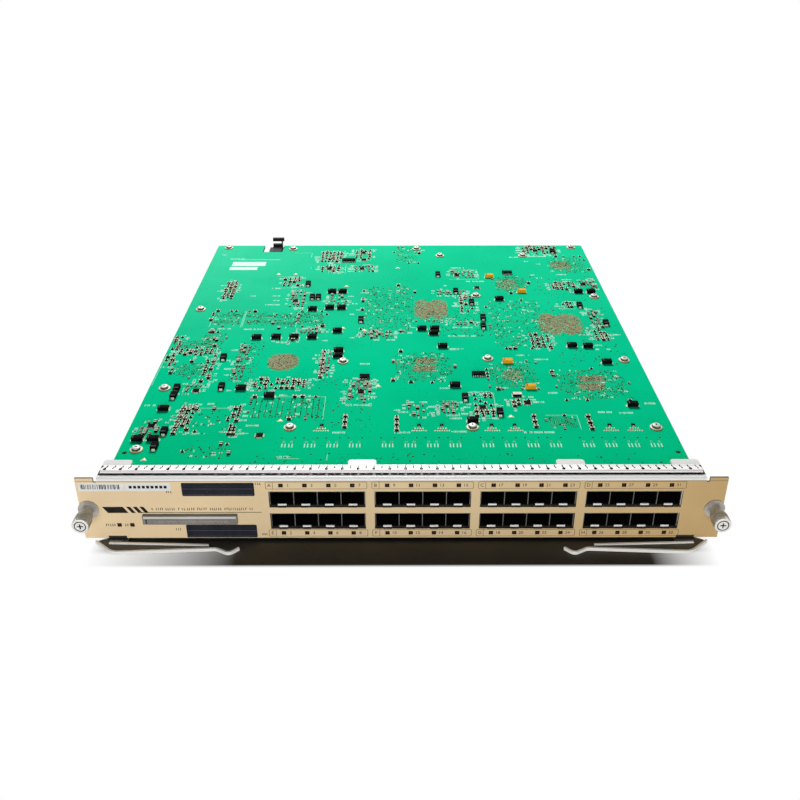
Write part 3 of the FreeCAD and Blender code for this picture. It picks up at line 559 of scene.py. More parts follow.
# Black for the resistor bodies, which are black, and painted shade on the sides of every chip part.
black_ceramic_and_side_shade = finish("black_ceramic_and_side_shade", (0.003, 0.005, 0.003), (0.008, 0.010, 0.007), 0.5, 0.2, 0.0, 400.0,
                       specular=0.01)


def chip_part(name, length, width, height, body):
    """Block with a cap at each end, standing on two solder lands; its side faces are painted near black as painted
    shade.
    """
    cap = length * 0.22
    piece = slab(name, (-length / 2 + cap, -width / 2, 0.04), (length / 2 - cap, width / 2, height))
    paint(piece, body)
    paint(piece, tin, lambda c, n: False)
    pick(piece, lambda c, n: abs(n.x) > 0.9)
    extrude()
    bpy.ops.transform.resize(value=(1, 1.08, 1.08), center_override=(0, 0, height / 2 * mm))
    leave_edit()
    for side in (-1, 1):
        pick(piece, lambda c, n: n.x * side > 0.9 and abs(c.x) > length / 2 - cap - 0.01)
        extrude(x=side * cap)
        leave_edit()
    for p in piece.data.polygons:
        if abs(p.center.x / mm) > length / 2 - cap - 0.01:
            p.material_index = 1
    # Side faces of body and caps alike are painted near black: painted shade.
    paint(piece, black_ceramic_and_side_shade, lambda c, n: abs(n.z) < 0.5)
    lands = []
    for side in (-1, 1):
        x = side * (length / 2 - cap / 2 + 0.15)
        land = slab(name, (x - cap * 0.8, -width * 0.55, 0), (x + cap * 0.8, width * 0.55, 0.05))
        lands.append(paint(land, tin))
    return join(name, [piece] + lands)


part_kinds = {
    "chip_capacitors": chip_part("chip_capacitors", 2.8, 2.0, 1.4, ceramic_khaki),
    "chip_filters": chip_part("chip_filters", 2.0, 1.3, 0.9, ceramic_tan),
    "chip_resistors": chip_part("chip_resistors", 2.1, 1.4, 0.8, black_ceramic_and_side_shade),
}
part_groups = (
    (-104, -88, 304, 324), (-94, -81, 258, 292), (-60, -45, 265, 285), (46, 67, 323, 340), (158, 173, 298, 316),
    (135, 145, 256, 267), (154, 162, 218, 251), (151, 163, 192, 218), (-37, -21, 94, 128), (-122, -114, 128, 183),
    (-148, -138, 52, 90), (-113, -107, 52, 90), (-60, -52, 130, 172), (-105, -67, 114, 130), (-170, -157, 52, 70),
    (49, 63, 75, 106), (75, 89, 88, 99), (-75, -54, 364, 390), (-73, -55, 338, 354),
    (-43, -27, 368, 397), (-42, -24, 338, 354), (31, 56, 284, 294), (19, 31, 228, 236), (39, 59, 221, 228),
    (49, 62, 248, 284), (117, 151, 384, 406), (132, 154, 295, 312), (4, 19, 76, 93), (27, 39, 79, 96),
    (-168, -141, 167, 178), (-154, -140, 109, 120), (-145, -136, 124, 160), (-176, -168, 150, 200),
    (100, 116, 180, 205), (-30, -6, 196, 210), (-80, -62, 206, 216), (-96, -82, 192, 196), (-153, -143, 275, 315),
)
columns = ((-3, 56, 77), (88, 60, 77), (124, 57, 77), (-37, 60, 77), (-58, 130, 175), (-147, 52, 88))
small_chips = (
    (-65, 345), (-35, 345), (-89, 270), (51, 328), (130, 392), (161, 306), (-28, 109), (86, 93),
    (55, 87), (-163, 63), (-143, 111), (-91, 51), (-35, 387), (-34, 368), (67, 299),
)
board_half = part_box("main_board")[1].x / mm
back_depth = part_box("main_board")[1].y / mm - front_mm
bar_low, bar_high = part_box("stiffener_front")
bar_depth = (bar_low.y + bar_high.y) / 2 / mm - front_mm


def across(share):
    """X on the board from thousandths of half its width."""
    return share / 1000 * board_half


def along(share):
    """Depth on the board from thousandths of the way from the front bar to the back edge."""
    return bar_depth + share / 1000 * (back_depth - bar_depth)


moulded_across = [(across(x), along(d)) for x, d in (
    (-333, 658), (-282, 658), (-412, 549), (-333, 558), (-277, 558), (-282, 426), (-469, 394), (-390, 394),
    (96, 437), (153, 437), (147, 414), (475, 610), (870, 656), (932, 656), (-266, 325), (-266, 299),
    (181, 345), (215, 164), (266, 23), (740, 348), (808, 345), (859, 267), (887, 83), (-633, 391),
    (-548, 394), (-633, 152), (-514, 121), (-904, 69), (-949, -43), (-893, -43),
)]
moulded_along = [(across(x), along(d)) for x, d in (
    (-458, 707), (-424, 621), (-395, 621), (-181, 486), (192, 771), (271, 658), (339, 589), (379, 497),
    (373, 449), (825, 943), (847, 569), (932, 466), (249, 112), (373, 52), (-746, 290), (-887, 152),
    (-887, 121), (-712, 158), (-864, -17), (-876, -69),
)]
amber_places = [(across(x), along(d)) for x, d in ((452, 759), (593, 658), (446, 270), (514, 155))]
driver_places = [(across(x), along(d), w) for x, d, w in (
    (-271, 877, 12.4), (316, 213, 9.4), (548, 785, 8.8), (-147, 201, 7.2),
)]
side_inset, signal_setback, power_setback = 11.2, 15.6, 34.6
signal_span, power_span = 119.1, 78.6
side_x = board_half - side_inset
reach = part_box("signal_connector")[1].y / mm - front_mm
signal_x, power_x = (sum(c.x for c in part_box(n)) / 2 / mm for n in ("signal_connector", "power_connector"))
sink_low, sink_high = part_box("heatsink_fabric")
screw_places = [(-side_x, along(s)) for s in (-77, 155, 552, 978)]
screw_places += [(side_x, along(s)) for s in (-1, 279, 627, 980)]
screw_places += [(across(s), bar_depth) for s in (-410, 262)] + [(across(366), along(s)) for s in (287, 634)]
screw_places += [(signal_x + s * signal_span, reach - signal_setback) for s in (-0.5, 0.5)]
screw_places += [(power_x + s * power_span, reach - power_setback) for s in (-0.5, 0.5)]
screw_places.append((sink_high.x / mm - 5.4, (sink_low.y + sink_high.y) / 2 / mm - front_mm))
keep_out = [(x, d, 5.2, 5.2) for x, d in screw_places]
keep_out += [(x, d, 4.6, 3.2) for x, d in moulded_across + amber_places]
keep_out += [(x, d, 3.2, 4.6) for x, d in moulded_along]
keep_out += [(x, d, w / 2 + 1.4, 4.8) for x, d, w in driver_places]
keep_out += [(x, d, 4.2, 4.2) for x, d in small_chips]
keep_out += [(x, d, w / 2 + 1, l / 2 + 1) for _, x, d, w, l, _, _ in via_fields]


def free(x, depth):
    on_board = abs(x) < board_half - 3.0 and depth < back_depth - 3.0
    return on_board and not any(abs(x - a) < w and abs(depth - b) < l for a, b, w, l in keep_out)


def on_rim(x0, x1, d0, d1, side_share, out_x, out_d):
    """Place drawn just outside a field: beside it, or else before or behind it."""
    if draw.random() < side_share:
        return draw.choice((x0 - out_x, x1 + out_x)), draw.uniform(d0, d1)
    return draw.uniform(x0, x1), draw.choice((d0 - out_d, d1 + out_d))


part_places = {name: [] for name in part_kinds}
land_places = []


def put(x, depth, turn):
    """Chooses what stands on one place of a group: a part, bare lands or nothing."""
    chance = draw.random()
    if not free(x, depth):
        return
    spot = on_top(x, depth, turn)
    for limit, chosen in (
        (0.16, part_places["chip_capacitors"]), (0.56, part_places["chip_resistors"]),
        (0.64, part_places["chip_filters"]), (0.78, land_places),
    ):
        if chance < limit:
            chosen.append(spot)
            return


for x0, x1, d0, d1 in part_groups:
    turn = draw.choice((0.0, quarter))
    step_x, step_d = (2.9, 3.8) if turn else (3.8, 2.7)
    count_x, count_d = max(1, round((x1 - x0) / step_x)), max(1, round((d1 - d0) / step_d))
    for i in range(count_x):
        for j in range(count_d):
            x = x0 + (i + 0.5) * (x1 - x0) / count_x + draw.uniform(-0.5, 0.5)
            put(x, d0 + (j + 0.5) * (d1 - d0) / count_d + draw.uniform(-0.4, 0.4), turn)
for x, d0, d1 in columns:
    count = int((d1 - d0) / 3.4)
    for j in range(count):
        spot = on_top(x, d0 + (j + 0.5) * (d1 - d0) / count)
        part_places["chip_resistors" if j % 2 else "chip_capacitors"].append(spot)
for x0, x1, d0, d1 in dense_fields:
    for i in range(int((x1 - x0 + d1 - d0) / 3.6)):
        if draw.random() < 0.4:
            x, depth = on_rim(x0, x1, d0, d1, 0.5, 1.6, 1.6)
            if free(x, depth):
                spot = on_top(x, depth, draw.choice((0.0, quarter)))
                part_places[draw.choice(("chip_resistors", "chip_resistors", "chip_capacitors"))].append(spot)
for name, places in part_places.items():
    parts = repeat(name, part_kinds[name], places)
    on_card(parts)


# Empty lands and printed marks: tinned pads that carry no part, press-fit rings, drilled dots
# and gold test points, and the pale ink strokes, frames and blank serial bars that the board
# house prints on the mask.
white_ink = finish("white_ink", (0.82, 0.97, 0.91), (0.74, 0.93, 0.85), 0.6, 0.15, 0.0, 300.0, specular=0.1)
label_ink = finish("label_ink", (0.58, 0.97, 0.80), (0.50, 0.93, 0.74), 0.6, 0.15, 0.0, 300.0, specular=0.05)
ring_pale = finish("ring_pale", (0.62, 0.66, 0.55), (0.50, 0.38, 0.26), 0.5, 0.2, 0.0, 300.0, specular=0.1)
lamp_tan = finish("lamp_land_tan", (0.62, 0.52, 0.36), (0.72, 0.66, 0.52), 0.45, 0.2, 0.1, 300.0, specular=0.2)
point_gold = finish("point_gold", (0.78, 0.55, 0.16), (0.86, 0.66, 0.28), 0.4, 0.2, 0.3, 300.0, specular=0.2)
for x0, x1, d0, d1 in dense_fields:
    for i in range(int((x1 - x0) * (d1 - d0) / 100)):
        spot = on_top(draw.uniform(x0, x1), draw.uniform(d0, d1), draw.choice((0.0, quarter)))
        land_places.append(spot)
pair = [slab("land", (x - 0.36, -0.4, 0), (x + 0.36, 0.4, 0.05), 0.04) for x in (-0.75, 0.75)]
lands = repeat("empty_lands", paint(join("land", pair), tin), land_places)
on_card(lands)

lamp_groups = (-52.0, 11.5, 26.5, 59.0, 74.0, 136.0, 151.5)
fan = []
for x in lamp_groups:
    fan += [on_top(x + (i - 3) * 1.5, 57.0, 1.2 + 0.12 * (i - 3)) for i in range(7)]
    fan += [on_top(x + (i - 1.5) * 1.7, 60.0, 1.57) for i in range(4)]
fan_land = paint(slab("fan_land", (-0.75, -0.4, 0), (0.75, 0.4, 0.25), 0.1), lamp_tan)
on_card(repeat("lamp_lands", fan_land, fan))

first_left, group_pitch, row_middle, port_pitch = -79.8, 63.5, 29.0, 14.25
port_x = [
    first_left + group * group_pitch + row_middle + (port - 1.5) * port_pitch
    for group in range(4) for port in range(4)
]
row_drops, sill_drops = (5.1, 40.2), (21.1, 37.1)
port_strokes = [on_top(x + dx, 39.2, quarter) for x in port_x for dx in (-3.2, -1.2, 1.2, 3.2)]
words = (
    (-167, 383, 4), (-126, 282, 5), (-108, 299, 8), (-106, 282, 7), (-105, 272, 6), (-107, 263, 13), (-80, 349, 4),
    (-58, 339, 5), (-46, 348, 4), (-25, 339, 4), (-25, 352, 9), (-55, 350, 4), (-30, 289, 7), (-38, 265, 5),
    (-34, 252, 5), (-39, 243, 5), (-63, 271, 4), (-42, 281, 5), (-45, 271, 8), (-58, 193, 4), (-37, 198, 5),
    (3, 207, 14), (-143, 215, 18), (-116, 214, 17), (-73, 215, 11), (-127, 176, 4), (53, 348, 13), (67, 315, 17),
    (40, 305, 3), (108, 376, 9), (130, 378, 19), (147, 331, 10), (125, 323, 6), (149, 319, 9), (171, 321, 5),
    (135, 309, 7), (151, 309, 5), (171, 309, 7), (172, 297, 5), (41, 234, 8), (50, 217, 17), (49, 201, 24),
    (43, 178, 10), (166, 242, 3), (144, 203, 8), (167, 203, 12), (152, 184, 6), (150, 177, 3), (159, 177, 4),
    (-127, 159, 4), (-125, 145, 8), (-135, 125, 5), (-121, 112, 5), (-82, 105, 6), (-67, 104, 11), (-170, 91, 8),
    (-129, 93, 5), (-105, 92, 4), (-153, 68, 4), (-156, 88, 4), (-131, 54, 9), (-114, 56, 6), (-102, 54, 7),
    (-97, 64, 9), (-40, 55, 9), (-29, 91, 18), (-39, 110, 5), (-20, 123, 7), (-26, 153, 8), (-72, 26, 9), (41, 177, 7),
    (92, 167, 9), (89, 155, 8), (105, 160, 11), (31, 115, 7), (55, 109, 16), (45, 88, 5), (42, 79, 7), (37, 73, 8),
    (-2, 84, 4), (28, 96, 5), (67, 90, 5), (74, 98, 6), (90, 102, 4), (96, 95, 7), (106, 108, 7), (170, 93, 8),
    (137, 81, 10), (151, 80, 10), (1, 55, 11), (38, 56, 10), (89, 55, 22), (-37, 372, 6), (-64, 360, 5), (20, 395, 9),
    (118, 365, 5), (128, 358, 6), (120, 330, 4), (-156, 372, 7), (-148, 372, 9),
)
letter_places = []


def label(x, depth, count, upright=True):
    """A word as a row of strokes, read along X or along the depth."""
    for i in range(count):
        if draw.random() < 0.9:
            step = (i - count / 2) * 0.95
            turn = quarter if upright == (draw.random() < 0.8) else 0.0
            dx, dd = (step, 0.0) if upright else (0.0, step)
            letter_places.append(on_top(x + dx, depth + dd, turn))


for x, depth, count in words:
    label(x, depth, count)
for x0, x1, d0, d1 in part_groups:
    for i in range(7 + int((x1 - x0) * (d1 - d0) / 45)):
        x, depth = on_rim(x0, x1, d0, d1, 0.6, 2.2, 2.0)
        if free(x, depth):
            label(x, depth, draw.choice((3, 4, 5, 7)), draw.random() < 0.6)
for x0, x1, d0, d1 in dense_fields:
    for i in range(int((x1 - x0) * (d1 - d0) / 110)):
        label(draw.uniform(x0, x1), draw.uniform(d0, d1), draw.choice((1, 1, 2, 3)))


def ink_stroke(length, width):
    """Flat printed bar with a slightly raised middle."""
    piece = slab("stroke", (-length / 2, -width / 2, 0), (length / 2, width / 2, 0.03))
    inset_faces(piece, up, 0.03, 0.01)
    return paint(piece, label_ink)


dashes = [on_top(-150.0 + i * 4.4, 370.0) for i in range(9)]
frames = (
    (-59, -46, 22, 29), (-100, -84, 376, 388), (-176, -173, 120, 168), (-153, -128, 218, 250), (-127, -102, 218, 249),
    (-84, -61, 218, 249), (-140, -114, 56, 87), (-104, -52, 72, 103), (96, 117, 59, 77), (-110, -92, 300, 327),
    (44, 70, 320, 343), (-50, -20, 334, 356), (137, 146, 254, 269), (-77, -63, 24, 29), (48, 64, 73, 108),
)
hairlines = []
for x0, x1, d0, d1 in frames:
    for a, b in (((x0, d0), (x1, d0)), ((x0, d1), (x1, d1)), ((x0, d0), (x0, d1)), ((x1, d0), (x1, d1))):
        if draw.random() < 0.45:
            low = (min(a[0], b[0]) - 0.14, front_mm + min(a[1], b[1]) - 0.14, top_mm)
            high = (max(a[0], b[0]) + 0.14, front_mm + max(a[1], b[1]) + 0.14, top_mm + 0.025)
            hairlines.append(paint(slab("hairline", low, high), label_ink))
on_card(join("printed_frames", hairlines))
on_card(repeat("printed_strokes", ink_stroke(4.4, 0.75), port_strokes + dashes))
on_card(repeat("printed_words", ink_stroke(2.2, 0.62), letter_places))

ring = drum("ring", 0.75, 0.05, (0, 0, 0.025), 12)
inset_faces(ring, up, 0.35, -0.03)
paint(ring, ring_pale)
paint(ring, via_hole_shade, lambda c, n: n.z > 0.9 and math.hypot(c.x, c.y) < 0.1)
rings = repeat(
    "press_fit_rings", ring, [on_top(x + dx, 43.6) for x in port_x for dx in (-2.5, 2.5)]
)
on_card(rings)

dot_places = [on_top(x + dx, 48.4) for x in port_x for dx in (-4.3, 4.3)]
dot_places += [on_top(-99.0 + i * 4.4, 75.0) for i in range(11)]
for x0, x1, d0, d1 in ((-152, -129, 221, 248), (-126, -103, 221, 247), (-101, -85, 217, 247), (-83, -62, 221, 247)):
    for i in range(5):
        for share in (0.3, 0.72):
            if draw.random() < 0.8:
                dot_places.append(on_top(x0 + (i + 0.5) * (x1 - x0) / 5, d0 + share * (d1 - d0)))
for x0, x1, d0, d1, inside, density, dark_share in scattered:
    for i in range(int((x1 - x0) * (d1 - d0) / (32 if density > 0.1 else 170))):
        dot_places.append(on_top(draw.uniform(x0, x1), draw.uniform(d0, d1)))
dot = drum("dot", 0.72, 0.08, (0, 0, 0.04), 8)
inset_faces(dot, up, 0.14, -0.02)
paint(dot, via_tented)
paint(dot, via_hole_shade, lambda c, n: n.z > 0.9 and math.hypot(c.x, c.y) < 0.1)
on_card(repeat("drilled_dots", dot, dot_places))

gold_points = (
    (-79.9, 70.4), (-158.5, 23.0), (-16.2, 118.6), (-110.0, 333.2), (-94.6, 333.1), (-47.4, 304.1), (-2.2, 348.4),
    (-45.8, 216.2), (-28.9, 212.0), (73.0, 75.4),
)
point = drum("point", 1.1, 0.3, (0, 0, 0.15), 16)
bevel_faces(point, up, 0.12, 2)
paint(point, point_gold)
mark = drum("mark", 2.5, 0.04, (0, 0, 0.02), 3)
inset_faces(mark, up, 0.2, 0.02)
point = join("point", [point, paint(mark, white_ink)])
spots = [on_top(x, d) for x, d in gold_points]
on_card(repeat("gold_points", smooth(point), spots))

bars = []
for x0, x1, d0, d1 in ((-156.0, -125.0, 353.7, 364.0), (-156.7, -131.2, 343.6, 351.0)):
    bar = slab("bar", (x0, front_mm + d0, top_mm), (x1, front_mm + d1, top_mm + 0.03))
    inset_faces(bar, up, 0.5, 0.02)
    bars.append(paint(bar, white_ink))
on_card(join("serial_bars", bars))


# Moulded capacitors and chips of the upper side: black or amber epoxy pressed round the part,
# with tinned straps or rows of bent leads soldered to the board.
epoxy = finish("epoxy_black", (0.003, 0.003, 0.004), (0.009, 0.009, 0.010), 0.5, 0.2, 0.0, 250.0, 2600.0, 0.03,
               specular=0.008)
amber = finish("epoxy_amber", (0.95, 0.43, 0.01), (0.88, 0.36, 0.005), 0.4, 0.15, 0.0, 250.0, 2600.0, 0.03,
               specular=0.1)
band_grey = finish("band_grey", (0.05, 0.05, 0.05), (0.09, 0.09, 0.085), 0.5, 0.1, 0.0, 300.0, specular=0.1)


def moulded(name, body, band):
    """Block with a polarity band and a strap under each end."""
    piece = slab(name, (-3.65, -2.15, 0.15), (3.65, 2.15, 2.9), 0.3, 2)
    paint(piece, body)
    stripe = slab(name, (-2.9, -1.75, 2.9), (-2.2, 1.75, 2.92))
    pieces = [piece, paint(stripe, band)]
    for side in (-1, 1):
        strap = slab(name, (3.55, -1.15, 0), (3.85, 1.15, 1.45), 0.12)
        foot = slab(name, (2.9, -1.3, 0), (4.4, 1.3, 0.06))
        for metal in (strap, foot):
            metal.data.transform(Matrix.Rotation(quarter * (1 - side), 4, "Z"))
            pieces.append(paint(metal, tin))
    return join(name, pieces)


capacitors = repeat(
    "moulded_capacitor_set", moulded("moulded", epoxy, band_grey),
    [on_top(x, d) for x, d in moulded_across]
    + [on_top(x, d, quarter) for x, d in moulded_along],
)
on_card(capacitors, "chip_black", "moulded_capacitors")
tantalums = repeat(
    "amber_capacitor_set", moulded("amber", amber, band_grey),
    [on_top(x, d) for x, d in amber_places],
)
on_card(tantalums, "tantalum_amber", "tantalum_capacitors")


def leaded_chip(name, width, length, height, leads, sides):
    """Package with a pin-one dimple and bent leads along two or four sides."""
    piece = slab(name, (-width / 2, -length / 2, 0.2), (width / 2, length / 2, height), 0.12)
    pieces = [paint(piece, epoxy)]
    dot = drum(name, 0.35, 0.04, (-width / 2 + 0.9, -length / 2 + 0.9, height), 12)
    pieces.append(paint(dot, band_grey))
    for turn in range(0, 4, 4 // sides):
        span, reach = (width, length) if turn % 2 == 0 else (length, width)
        for i in range(leads):
            x = (i - (leads - 1) / 2) * (span - 0.8) / leads
            lead = slab(name, (x - 0.16, reach / 2, 0.05), (x + 0.16, reach / 2 + 0.35, height * 0.6))
            pick(lead, lambda c, n: n.y > 0.9)
            extrude(y=0.55)
            bpy.ops.transform.resize(value=(1, 1, 0.25), center_override=(0, 0, 0))
            leave_edit()
            lead.data.transform(Matrix.Rotation(turn * quarter, 4, "Z"))
            pieces.append(paint(lead, tin))
    return join(name, pieces)


drivers = []
for x, depth, width in driver_places:
    driver = leaded_chip("driver", width, 5.4, 2.0, int(width / 1.2), 2)
    drivers.append(repeat("driver_chip", driver, [on_top(x, depth)]))
on_card(join("driver_chip_set", drivers), "chip_black", "driver_chips")
squares = repeat(
    "small_chip_set", leaded_chip("square_chip", 4.4, 4.4, 1.1, 6, 4),
    [on_top(x, d) for x, d in small_chips],
)
on_card(squares, "chip_black")
lamp_drivers = repeat(
    "lamp_driver_set", leaded_chip("lamp_driver", 2.4, 2.0, 1.0, 3, 2),
    [on_top(x, 63.6) for x in lamp_groups],
)
on_card(lamp_drivers, "chip_black")
pale_ceramic = finish("ceramic_pale", (0.78, 0.70, 0.62), (0.86, 0.80, 0.74), 0.5, 0.15, 0.0, 300.0, specular=0.1)
pale_block = chip_part("pale_block", 6.0, 3.4, 1.8, pale_ceramic)
on_card(repeat("pale_block", pale_block, [on_top(80.3, 104.4)]))


# Board screws: zinc-plated pan heads with a cross recess on a plain washer, driven through
# the board into the rails, connectors and heat sink below.
zinc = finish("zinc_plate", (0.50, 0.50, 0.46), (0.60, 0.58, 0.50), 0.35, 0.2, 0.4, 220.0, specular=0.3)
washer_cream = finish("washer_cream", (0.70, 0.67, 0.54), (0.76, 0.73, 0.62), 0.45, 0.2, 0.1, 220.0, specular=0.2)
# Brown-gold painted shade for the sides of the washers.
washer_rim_shade = finish("washer_rim_shade", (0.42, 0.29, 0.09), (0.34, 0.23, 0.07), 0.45, 0.2, 0.2, 220.0, specular=0.2)
# Near-black painted shade for recesses and for the sides of screw heads.
painted_recess_shade = finish("recess_painted_shade", (0.03, 0.03, 0.028), (0.06, 0.055, 0.05), 0.5, 0.2, 0.3, 300.0)


def cross_cutter(name, length, width, depth, z):
    """Two crossed wedges that sink a cross recess."""
    arms = [
        slab(name, (-length / 2, -width / 2, z - depth), (length / 2, width / 2, z + 1)),
        slab(name, (-width / 2, -length / 2, z - depth), (width / 2, length / 2, z + 1)),
    ]
    for arm in arms:
        pick(arm, down)
        bpy.ops.transform.resize(value=(0.6, 0.6, 1), center_override=(0, 0, 0))
        leave_edit()
    return arms


def sink_recess(piece, cutters):
    """Cuts the cutters out of the piece and removes them."""
    for cutter in cutters:
        cut = piece.modifiers.new("recess", "BOOLEAN")
        cut.object = cutter
        cut.solver = "EXACT"
    apply_all(piece)
    for cutter in cutters:
        bpy.data.objects.remove(cutter)


washer = drum("washer", 4.1, 0.8, (0, 0, 0.4), 32)
bevel_faces(washer, up, 0.18, 2)
paint(washer, washer_cream)
# Washer sides painted brown-gold: painted shade.
paint(washer, washer_rim_shade, lambda c, n: n.z < 0.5)
head = drum("head", 2.75, 1.8, (0, 0, 1.7), 28)
bevel_faces(head, up, 1.0, 4)
sink_recess(head, cross_cutter("cutter", 2.9, 0.75, 1.1, 2.6))
paint(head, zinc)
# Head sides and the floor of the cross recess are painted near black: painted shade.
paint(head, painted_recess_shade, lambda c, n: n.z < 0.35 or (math.hypot(c.x, c.y) < 1.5 and c.z < 2.55))
shank = drum("shank", 1.45, 7.4, (0, 0, -3.7), 16)
bevel_faces(shank, down, 0.4, 1)
screw = smooth(join("screw", [washer, head, paint(shank, zinc)]), 35)
screws = repeat("board_screw_set", screw, [
    on_top(x, d, draw.uniform(0, quarter)) for x, d in screw_places
])
on_card(screws, "fastener_zinc", "board_screws")


# Front panel: steel sheet, plated, folded over the board and painted gold on its face. The
# bend and the flange stay bare, and the legends are printed on the paint.
panel_gold, tree, shader, place = new_material("panel_gold_paint")
paint_tone = toned(tree, place, (1.0, 1.0, 1.0), (0.93, 0.93, 0.92), 22.0, 2600.0, 0.42, 0.14)
plated_tone = toned(tree, place, (0.95, 0.95, 0.93), (0.98, 0.98, 0.96), 60.0, 1800.0, 0.22, 0.2, (1, 8, 8))
spot = axes(tree, place)
# The gold is painted darker from left to right: painted light, brighter on the side the light comes from.
gold = blend_colours(tree, limits(tree, spot[0], -0.19, 0.02), (0.90, 0.70, 0.44), (0.75, 0.58, 0.34))
gold = blend_colours(tree, limits(tree, spot[0], 0.04, 0.19), gold, (0.60, 0.41, 0.185))
gold = blend_colours(tree, 1.0, gold, paint_tone["Colour"], "MULTIPLY")
near_face = limits(tree, spot[1], behind(0.25), behind(0.35), 1.0, 0.0)
below_bend = limits(tree, spot[2], panel_top - 1.5 * mm, panel_top - 1.9 * mm)
beyond_flange = limits(tree, unsigned(tree, spot[0]), panel_half - 12.0 * mm, panel_half - 11.5 * mm)
low_part = larger(tree, below_bend, beyond_flange)
painted = times(tree, near_face, low_part)
# The sheet's cut edges inside the windows are painted dark brown: painted shade.
cut_edge_shade = less(tree, low_part, painted)
cut_edge_shade = times(tree, cut_edge_shade, limits(tree, spot[1], behind(1.48), behind(1.45)))
# The flange under the finger strip is painted near black: painted shadow of the strip's lip.
painted_shadow_under_lip = times(
    tree, limits(tree, spot[1], behind(3.4), behind(3.9)), limits(tree, spot[1], behind(14.2), behind(14.0))
)
edge_line = limits(tree, spot[2], panel_top - 2.5 * mm, panel_top - 2.0 * mm)
edge_line = times(tree, times(tree, edge_line, below_bend), 0.6)
gold = blend_colours(tree, edge_line, gold, (0.16, 0.12, 0.07))
plated = blend_colours(tree, painted_shadow_under_lip, plated_tone["Colour"], (0.004, 0.004, 0.004))
sheet_colour = blend_colours(tree, painted, plated, gold)
sheet_colour = blend_colours(tree, cut_edge_shade, sheet_colour, (0.05, 0.042, 0.03))
tree.links.new(sheet_colour, shader.inputs["Base Color"])
tree.links.new(limits(tree, painted, 0.0, 1.0, 0.3, 0.46), shader.inputs["Roughness"])
shader.inputs["Specular IOR Level"].default_value = 0.12
rough_bump(tree, shader, paint_tone["Height"], 0.02, 0.3)
dress(panel_gold, "front_panel")

navy = finish("print_navy", (0.018, 0.019, 0.027), (0.026, 0.027, 0.036), 0.45, 0.12, 0.0, 80.0, specular=0.03)
brown_line = finish("print_brown", (0.12, 0.08, 0.035), (0.16, 0.11, 0.05), 0.5, 0.1, 0.0, 120.0, specular=0.05)
sticker = finish("sticker_white", (0.78, 0.78, 0.76), (0.84, 0.84, 0.82), 0.5, 0.1, 0.0, 90.0, specular=0.1)
print_black = finish("print_black", (0.012, 0.011, 0.010), (0.025, 0.023, 0.02), 0.5, 0.1, 0.0, 200.0, specular=0.05)
print_grey = finish("print_grey", (0.12, 0.12, 0.13), (0.17, 0.17, 0.18), 0.5, 0.1, 0.0, 200.0, specular=0.05)
top_of_panel = panel_top / mm


def printed(name, x0, x1, drop0, drop1, ink, lift=0.04, corner=0.0, slant=0.0):
    """Flat print on the face of the panel, with rounded or slanted ends."""
    low = (x0, front_mm - lift, top_of_panel - drop1)
    high = (x1, front_mm + 0.01, top_of_panel - drop0)
    piece = slab(name, low, high)
    if slant:
        pick(piece, up)
        bpy.ops.transform.translate(value=(slant * mm, 0, 0))
        leave_edit()
    if corner:
        activate(piece)
        piece.data.vertices.foreach_set("select", [False] * len(piece.data.vertices))
        piece.data.polygons.foreach_set("select", [False] * len(piece.data.polygons))
        piece.data.edges.foreach_set("select", [
            abs(piece.data.vertices[e.vertices[0]].co.y - piece.data.vertices[e.vertices[1]].co.y) > 0.01 * mm
            for e in piece.data.edges
        ])
        bpy.ops.object.mode_set(mode="EDIT")
        bpy.ops.mesh.select_mode(type="EDGE")
        bpy.ops.mesh.bevel(offset=corner * mm, segments=3, affect="EDGES")
        leave_edit()
    return paint(piece, ink)


def outline_print(name, x0, x1, drop0, drop1, ink, line=0.28, corner=0.9):
    """Thin rounded frame on the face of the panel."""
    piece = printed(name, x0, x1, drop0, drop1, ink, 0.03, corner)
    for sign in (-1, 1):
        pick(piece, lambda c, n: n.y * sign > 0.9)
        bpy.ops.mesh.inset(thickness=line * mm)
        bpy.ops.mesh.delete(type="FACE")
        leave_edit()
    return piece


def lettering(name, words, x, drop, height, ink):
    """Numbers or a letter printed on the panel, centred on a place."""
    deselect()
    bpy.ops.object.text_add(
        location=(x * mm, face_y - 0.02 * mm, panel_top - drop * mm), rotation=(quarter, 0, 0)
    )
    piece = bpy.context.object
    piece.data.body = words
    piece.data.size = height * 1.35 * mm
    piece.data.align_x = "CENTER"
    piece.data.align_y = "CENTER"
    piece.data.extrude = 0.02 * mm
    piece.data.resolution_u = 2
    bpy.ops.object.convert(target="MESH")
    piece = bpy.context.object
    piece.name = name
    apply_all(piece)
    return paint(piece, ink)


legends = [
    printed("legend", -131.4, -88.0, 3.1, 12.6, navy, 0.04, 0.8),
    printed("legend", -131.7, -88.5, 33.8, 43.5, navy, 0.04, 0.8),
]
on_card(join("legend_panels", legends), "panel_paint")
marks = []
for drop0 in (4.2, 35.0):
    for i in range(4):
        for j in range(2):
            x, drop = -127.0 + i * 10.6, drop0 + j * 4.3
            marks.append(lettering("digit", str(2 * i + 1 + j), x, drop + 1.2, 1.6, print_grey))
            marks.append(outline_print("cell", x + 1.6, x + 5.4, drop, drop + 2.4, print_grey, 0.15, 0.3))
    marks += [printed("ruling", -131.0, -88.9, drop0 + d, drop0 + d + 0.15, print_grey, 0.06) for d in (3.2, 7.4)]
on_card(join("legend_marks", marks), "panel_paint")

stripes = [printed("stripe", -177.8, -165.3, 20.4, 24.9, print_black, 0.04, 0.0, -3.0)]
for x in (-163.3, -159.3, -155.3):
    stripes.append(printed("stripe", x, x + 2.4, 20.4, 24.9, print_black, 0.04, 0.0, -3.0))
stripes.append(printed("stripe", -157.7, -84.8, 24.4, 24.75, print_black))
on_card(join("panel_stripes", stripes), "panel_paint")

